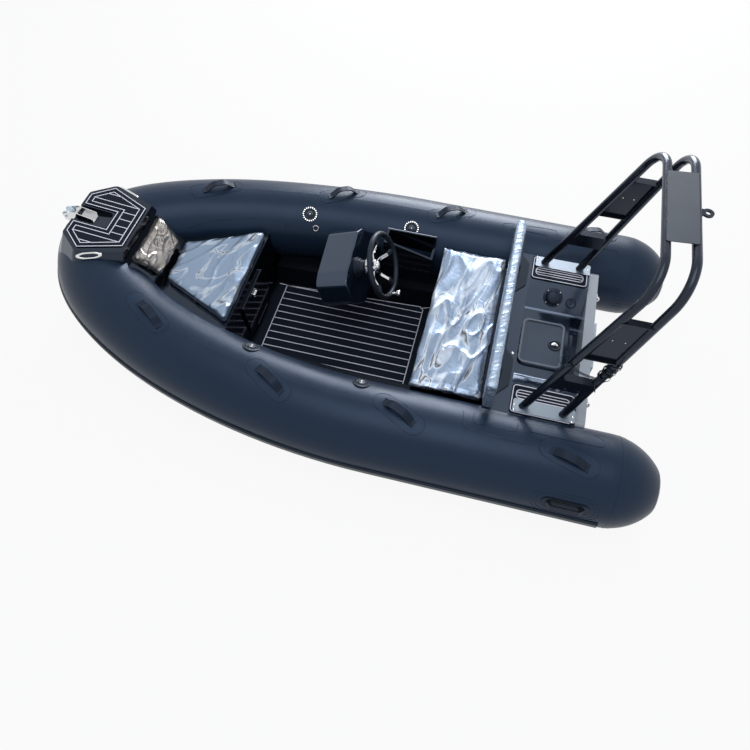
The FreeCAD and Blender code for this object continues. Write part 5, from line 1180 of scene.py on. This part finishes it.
@dataclass
class ArchDressing:
    """Weld beads, bolts and the tied wires of the arch.

    Attributes:
        bead: Radius of a weld's ripples.
        pitch: Distance between ripples.
        wire: Radius of a wire.
        foot_height: Height of the legs' feet.
        foot_side: Distance of the legs' feet from the centreline.
        rake: How far a leg goes aft, to its height.
        draw_in: How far a leg goes inboard, to its height.
        feet: Stations of the port legs' feet, forward and aft.
        rung_bolt_spots: Stations of the bolts on a lower rung.
        rung_bolt_place: Distance off the centreline and height of those bolts.
        coil: Radius of the wires' turns round the aft leg.
        turns: How many times a wire goes round it.
        tail_points: Points of the wires' loose end, off the aft leg.
        tie_spots: Foot and height of each cable tie.
        plate_thick: Thickness of the top plate.
        plate_overlap: How far the top plate goes past the CAD plate, each way along the boat.
    """

    bead: float = 0.0032
    pitch: float = 0.0055
    wire: float = 0.0022
    foot_height: float = 0.386
    foot_side: float = 0.461
    rake: float = 0.30
    draw_in: float = 0.066
    feet: tuple[float, float] = (0.290, 0.108)
    rung_bolt_spots: tuple[float, float] = (0.145, 0.088)
    rung_bolt_place: tuple[float, float] = (0.4635, 0.592)
    coil: float = 0.0262
    turns: int = 3
    tail_points: tuple[tuple[float, float, float], ...] = (
        (0.020, 0.016, 0.004), (0.030, 0.022, -0.012), (0.024, 0.030, -0.036),
        (0.014, 0.030, -0.058), (0.012, 0.034, -0.070))
    tie_spots: tuple[tuple[float, float], ...] = (
        (0.290, 0.757), (0.108, 0.712), (0.108, 0.752), (0.108, 0.792))
    plate_thick: float = 0.0035
    plate_overlap: float = 0.004

    def build(self) -> None:
        """Dress the arch."""
        self.top_plate()
        self.rung_bolts()
        self.wires()

    def leg(self, foot: float, height: float) -> Vector:
        """A point on the middle line of a port leg.

        Args:
            foot: Station of the leg's foot.
            height: Height of the point.

        Returns:
            The point, in the boat's frame.
        """
        up = height - self.foot_height
        return Vector((foot - self.rake * up, self.foot_side - self.draw_in * up, height))

    def rung_bolts(self) -> None:
        """Two bolt heads on the outer face of each lower rung."""
        bm = bmesh.new()
        out, height = self.rung_bolt_place
        for side in (-1, 1):
            for x in self.rung_bolt_spots:
                head = turned([(0, 0.0040), (0.0035, 0.0036), (0.0062, 0.0012), (0.0062, -0.004),
                               (0, -0.004)], 16)
                merge(bm, head, facing(Vector((x, out * side, height)), Vector((0, side, 0))))
        finish_piece("rung_bolts", bm, BLACK_POWDER_COAT)

    def wires(self) -> None:
        """Two wires that cross between the port legs and are wound and tied to the aft one."""
        bm = bmesh.new()
        forward, aft = self.feet
        steps = 8
        for shift in (0.0, 0.0075):
            start = self.leg(forward, 0.757 + shift)
            end = self.leg(aft, 0.706 + shift)
            points = [start + Vector((0.004, 0.024, 0.0)), start + Vector((-0.024, 0.020, 0.0))]
            for share in (0.3, 0.6, 0.85):
                sag = Vector((0, 0.020, -0.020 * math.sin(math.pi * share)))
                points.append(start.lerp(end, share) + sag)
            for i in range(self.turns * steps + 1):
                angle = math.pi / 2 - 2 * math.pi * i / steps
                middle = self.leg(aft, 0.700 + shift + 0.100 * i / (self.turns * steps))
                points.append(middle + Vector((math.cos(angle), math.sin(angle), 0)) * self.coil)
            points.append(self.leg(aft, 0.845) + Vector((0.004, 0.024 + shift, 0)))
            points.append(self.leg(aft, 0.868) + Vector((0.010, 0.018, 0)))
            bead(bm, points, self.wire, smooth=True)
        tail = self.leg(aft, 0.700)
        bead(bm, [tail + Vector(v) for v in self.tail_points], self.wire, smooth=True)
        finish_piece("arch_wires", bm, SOFT_BLACK, crisp=60)
        ties = bmesh.new()
        for foot, height in self.tie_spots:
            ring = turned([(0.0275, -0.0020), (0.0290, -0.0020), (0.0290, 0.0020),
                           (0.0275, 0.0020), (0.0275, -0.0020)], 32)
            merge(ties, ring, Matrix.Translation(self.leg(foot, height)))
            lock = slab(box_corners(-0.0035, 0.0035, -0.003, 0.003), 0.005, 0.001)
            merge(ties, lock, Matrix.Translation(self.leg(foot, height)
                                                 + Vector((0.0, 0.0305, -0.0025))))
        finish_piece("wire_ties", ties, SOFT_BLACK)

    def top_plate(self) -> None:
        """The plate on top of the two crossbars, welded along both long edges."""
        low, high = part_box("arch_top_plate")
        front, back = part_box("arch_forward_hoop")[1].z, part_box("arch_aft_hoop")[1].z
        slope = Matrix.Rotation(math.atan2(back - front, high.x - low.x), 4, "Y")
        middle = Vector(((low.x + high.x) / 2, 0, (front + back) / 2))
        place = Matrix.Translation(middle) @ slope
        half = (high.x - low.x) / 2 + self.plate_overlap
        plate = slab(box_corners(-half, half, low.y, high.y), self.plate_thick, 0.006)
        bmesh.ops.transform(plate, matrix=place, verts=plate.verts[:])
        piece = finish_piece("arch_plate_skin", plate, PALE_POWDER_COAT)
        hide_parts("arch_top_plate")
        bm = bmesh.new()
        for x in (-half - 0.001, half + 0.001):
            for i in range(int((high.y - low.y) / self.pitch)):
                ripple = bmesh.new()
                bmesh.ops.create_uvsphere(ripple, u_segments=8, v_segments=5, radius=1.0)
                spot = Vector((x, low.y + (i + 0.5) * self.pitch, 0.0005))
                size = Matrix.Diagonal((self.bead * 1.2, self.bead, self.bead * 0.9, 1))
                merge(bm, ripple, place @ Matrix.Translation(spot) @ size)
        finish_piece("plate_welds", bm, BLACK_POWDER_COAT, crisp=80)


@dataclass
class HelmDressing:
    """Bright hub and collar of the steering wheel.

    Attributes:
        dome: Radius of the hub's dome.
        collar: Radius of the bright ring on the helm's bezel.
    """

    dome: float = 0.023
    collar: float = 0.044

    def build(self) -> None:
        """Make the hub's dome and the bezel's rings."""
        steering = next(j for j in frame["joints"] if j["name"] == "steering")
        centre, axis = Vector(steering["pos_m"]), Vector(steering["axis"]).normalized()

        def reach(node: str, limit: float) -> float:
            """How far along the shaft a node comes, within a distance of it."""
            ahead = []
            for vertex in frame["nodes"][node].data.vertices:
                off = vertex.co - centre
                if (off - axis * off.dot(axis)).length < limit:
                    ahead.append(off.dot(axis))
            return max(ahead)

        r = self.dome
        front = reach("wheel_spokes", r)
        dome = turned([(0, 0.009), (r * 0.35, 0.0084), (r * 0.68, 0.0062), (r * 0.92, 0.0028),
                       (r, 0.0), (r, -0.003), (0, -0.003)], 40)
        bmesh.ops.transform(dome, matrix=facing(centre + axis * front, axis), verts=dome.verts[:])
        finish_piece("wheel_hub_dome", dome, STAINLESS, "steering_wheel")
        face = reach("helm_bezel", self.collar)
        rings = bmesh.new()
        for radius, ahead in ((self.collar, 0.0), (self.collar * 0.80, 0.0015)):
            ring = turned([(radius - 0.0030, 0.0), (radius, 0.0026), (radius + 0.0030, 0.0),
                           (radius, -0.0026), (radius - 0.0030, 0.0)], 48)
            merge(rings, ring, facing(centre + axis * (face + ahead - 0.0010), axis))
        finish_piece("helm_rings", rings, STAINLESS)


@dataclass
class CoveredCushions:
    """Seat cushions drawn up in silver packing film.

    Attributes:
        voxel: Size of the remesh.
        pressure: Air pressure of the cloth run.
        frames: Length of the cloth run.
        shrink: Share by which the shape starts smaller, since the pad swells.
        seed: Start of the folds' noise, fixed so that every run gives the same folds.
        spare: How far a fold may stand past the CAD cushion's box.
        slack: How much smaller than the solid the shape may start, in all.
        warp_scale: Size of the swirl that bends the folds, to the folds' own size.
        warp: How far the swirl bends them.
        sharpness: How steeply a fold falls away from its crest.
        fine_scale: How much finer the small wrinkles are.
        fine: Height of the small wrinkles, as a share.
        hollow: How far the film sinks between the folds, as a share.
        pads: Node, height of its folds and farthest swelling of each cushion.
    """

    voxel: float = 0.006
    pressure: float = 4.0
    frames: int = 20
    shrink: float = 0.012
    seed: int = 3
    spare: float = 0.009
    slack: float = 0.004
    warp_scale: float = 0.7
    warp: float = 0.9
    sharpness: float = 3.2
    fine_scale: float = 2.7
    fine: float = 0.25
    hollow: float = 0.35
    pads: tuple[tuple[str, float, float], ...] = (
        ("bench_cushion", 0.0075, 0.008), ("bench_backrest", 0.0020, 0.003),
        ("bow_seat_cushion", 0.0060, 0.007), ("bow_back_cushion", 0.0065, 0.007))

    def build(self) -> None:
        """Make the four covered cushions."""
        noise.seed_set(self.seed)
        for node, ridge, cap in self.pads:
            self.cushion(node, ridge, cap)

    def cushion(self, node: str, ridge: float, cap: float) -> bpy.types.Object:
        """Swell one cushion from its CAD solid and crease its film.

        Args:
            node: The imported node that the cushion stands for.
            ridge: Height of the folds.
            cap: How far a point may swell.

        Returns:
            The padded piece.
        """
        look = CAD_FINISHES[node]
        bm = bmesh.new()
        bm.from_mesh(frame["nodes"][node].data)
        bmesh.ops.remove_doubles(bm, verts=bm.verts[:], dist=1e-5)
        bmesh.ops.recalc_face_normals(bm, faces=bm.faces[:])
        low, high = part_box(node)
        middle, size = (low + high) / 2, high - low
        draw = Vector([1 - 2 * min(self.slack / side, self.shrink) for side in size])
        for vertex in bm.verts:
            away = vertex.co - middle
            vertex.co = middle + Vector([a * d for a, d in zip(away, draw)])
            lowered = 1 - (cap + ridge * 0.4) / size.z
            vertex.co.z = low.z + (vertex.co.z - low.z) * lowered
        piece = finish_piece(node + "_cover", bm, look)
        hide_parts(node)
        modifier = piece.modifiers.new("remesh", "REMESH")
        modifier.mode = "VOXEL"
        modifier.voxel_size = self.voxel
        self.apply(piece, look)
        self.swell(piece, look, cap)
        self.crease(piece, ridge, low, high, look)
        smooth = piece.modifiers.new("smooth", "SUBSURF")
        smooth.levels = smooth.render_levels = 1
        return piece

    def apply(self, piece: bpy.types.Object, look: Film) -> None:
        """Make the evaluated shape the piece's own mesh and drop its modifiers.

        Args:
            piece: The padded piece.
            look: Its film.
        """
        graph = bpy.context.evaluated_depsgraph_get()
        made = bpy.data.meshes.new_from_object(piece.evaluated_get(graph))
        piece.modifiers.clear()
        piece.data = made
        made.materials.clear()
        made.materials.append(look.material())
        for face in made.polygons:
            face.use_smooth = True

    def swell(self, piece: bpy.types.Object, look: Film, cap: float) -> None:
        """Blow the piece up gently as cloth, and limit how far each point moves.

        Args:
            piece: The padded piece.
            look: Its film.
            cap: How far a point may move.
        """
        rest = [v.co.copy() for v in piece.data.vertices]
        modifier = piece.modifiers.new("cloth", "CLOTH")
        settings = modifier.settings
        settings.use_pressure = True
        settings.uniform_pressure_force = self.pressure
        settings.effector_weights.gravity = 0.0
        scene = bpy.context.scene
        for step in range(1, self.frames + 1):
            scene.frame_set(step)
        self.apply(piece, look)
        scene.frame_set(1)
        for vertex, start in zip(piece.data.vertices, rest):
            move = vertex.co - start
            if move.length > cap:
                vertex.co = start + move.normalized() * cap

    def crease(self, piece: bpy.types.Object, ridge: float, low: Vector, high: Vector,
               look: Film) -> None:
        """Press long folds into the film, and keep it near the cushion's place.

        Args:
            piece: The padded piece.
            ridge: Height of the folds.
            low: Lowest corner of the cushion's box.
            high: Highest corner of the cushion's box.
            look: The film, whose folds the relief follows.
        """
        mesh = piece.data
        normals = [v.normal.copy() for v in mesh.vertices]
        angle = math.radians(look.angle)
        per_metre = 1000.0 / look.fold_mm
        spare = self.spare
        for vertex, normal in zip(mesh.vertices, normals):
            x, y, z = vertex.co
            along = (x * math.cos(angle) + y * math.sin(angle)) * per_metre / look.stretch
            across = (-x * math.sin(angle) + y * math.cos(angle)) * per_metre
            point = Vector((along, across, z * per_metre))
            swirl = noise.noise_vector(point * self.warp_scale) * self.warp
            fold = max(1 - abs(noise.noise(point + swirl)) * self.sharpness, 0.0)
            wrinkle = noise.noise(point * self.fine_scale)
            vertex.co += normal * (ridge * (fold ** 2 - self.hollow + wrinkle * self.fine))
            for axis in range(2):
                vertex.co[axis] = min(max(vertex.co[axis], low[axis] - spare), high[axis] + spare)
            vertex.co.z = min(max(vertex.co.z, low.z + 0.0002), high.z + spare)


@dataclass
class Studio:
    """Camera, floor and soft light.

    Attributes:
        focal_px: Focal length in the photograph's pixels.
        frame_px: Width and height of the photograph.
        eye: Place of the camera.
        right: The camera's X axis.
        up: The camera's Y axis.
        back: The camera's Z axis, away from the boat.
        centre_px: Where the camera's axis meets the photograph.
        lamps: Name, place, size and power of each lamp.
        aim: The point that the lamps face.
        sensor_mm: Width of the camera's sensor.
        floor_half: Half size of the floor.
        floor_glow: Share of the floor's own white that the camera sees, the rest being lit.
        sky_light: Strength of the sky that lights things; the sky that is seen is white.
    """

    focal_px: float = 728.565
    frame_px: float = 750.0
    eye: tuple[float, float, float] = (0.57148, 2.32756, 3.25309)
    right: tuple[float, float, float] = (-0.96969, -0.24394, 0.01421)
    up: tuple[float, float, float] = (0.20549, -0.78262, 0.58761)
    back: tuple[float, float, float] = (-0.13223, 0.57272, 0.80902)
    centre_px: tuple[float, float] = (373.73, 344.80)
    lamps: tuple[tuple[str, tuple[float, float, float], float, float], ...] = (
        ("key", (1.0, -5.4, 2.3), 3.2, 330.0), ("top", (0.8, 1.2, 5.0), 3.0, 70.0))
    aim: tuple[float, float, float] = (1.2, 0, 0.2)
    sensor_mm: float = 36.0
    floor_half: float = 30.0
    floor_glow: float = 0.92
    sky_light: float = 0.55

    def camera(self) -> None:
        """Set the camera where the photograph was taken from."""
        data = bpy.data.cameras.new("camera")
        data.sensor_width = self.sensor_mm
        data.lens = self.focal_px / self.frame_px * self.sensor_mm
        data.shift_x = (self.frame_px / 2 - self.centre_px[0]) / self.frame_px
        data.shift_y = (self.centre_px[1] - self.frame_px / 2) / self.frame_px
        camera = add_object("camera", data)
        turn = Matrix((self.right, self.up, self.back)).transposed()
        camera.matrix_world = Matrix.Translation(Vector(self.eye)) @ turn.to_4x4()
        bpy.context.scene.camera = camera

    def seen(self, tree: bpy.types.NodeTree) -> bpy.types.NodeSocket:
        """1 for camera, glossy and transmission rays, 0 for the rays that light things."""
        path = add_node(tree, "LightPath")
        pair = add_node(tree, "Math", {"operation": "MAXIMUM"},
                        {0: path.outputs["Is Camera Ray"], 1: path.outputs["Is Glossy Ray"]})
        return add_node(tree, "Math", {"operation": "MAXIMUM"},
                        {0: pair.outputs[0], 1: path.outputs["Is Transmission Ray"]}).outputs[0]

    def floor(self) -> None:
        """A pale plane at the waterline that stays white to the camera and keeps a shadow."""
        bm = bmesh.new()
        bmesh.ops.create_grid(bm, x_segments=1, y_segments=1, size=self.floor_half)
        mesh = bpy.data.meshes.new("floor")
        bm.to_mesh(mesh)
        bm.free()
        floor = add_object("floor", mesh)
        made, shader = start_material("pale_floor")
        tree = made.node_tree
        shader.inputs["Base Color"].default_value = to_linear("#B9BBBF")
        shader.inputs["Roughness"].default_value = 0.9
        shader.inputs["Specular IOR Level"].default_value = 0.0
        glow = add_node(tree, "Emission", {"Color": to_linear("#FFFFFF"), "Strength": 1.0})
        share = add_node(tree, "Math", {"operation": "MULTIPLY", 1: self.floor_glow},
                         {0: self.seen(tree)})
        mix = add_node(tree, "MixShader", links={0: share.outputs[0], 1: shader.outputs[0],
                                                 2: glow.outputs[0]})
        tree.links.new(mix.outputs[0], tree.nodes["Material Output"].inputs["Surface"])
        mesh.materials.append(made)

    def lights(self) -> None:
        """Even sky light, a low soft key from starboard and a weak lamp overhead."""
        world = bpy.data.worlds.new("studio")
        bpy.context.scene.world = world
        world.use_nodes = True
        tree = world.node_tree
        background = tree.nodes["Background"]
        strength = add_node(tree, "MapRange", {3: self.sky_light, 4: 1.0},
                            {0: self.seen(tree)})
        tree.links.new(strength.outputs[0], background.inputs["Strength"])
        background.inputs["Color"].default_value = to_linear("#FFFFFF")
        for name, spot, size, power in self.lamps:
            data = bpy.data.lights.new(name, "AREA")
            data.size = size
            data.energy = power
            lamp = add_object(name, data)
            lamp.location = spot
            lamp.rotation_mode = "QUATERNION"
            towards = Vector(self.aim) - Vector(spot)
            lamp.rotation_quaternion = towards.to_track_quat("-Z", "Y")

    def build(self) -> None:
        """Make the whole studio."""
        self.camera()
        self.floor()
        self.lights()
        bpy.context.scene.view_settings.view_transform = "Standard"


def main() -> None:
    """Build the scene in order."""
    logging.basicConfig(level=logging.INFO, format="%(message)s")
    Studio().build()
    dress_cad_nodes()
    for assembly in (TubeDressing(), AirValves(), DeckMats(), SternFittings(), ArchDressing(),
                     HelmDressing(), CoveredCushions()):
        assembly.build()


if __name__ == "__main__":
    main()
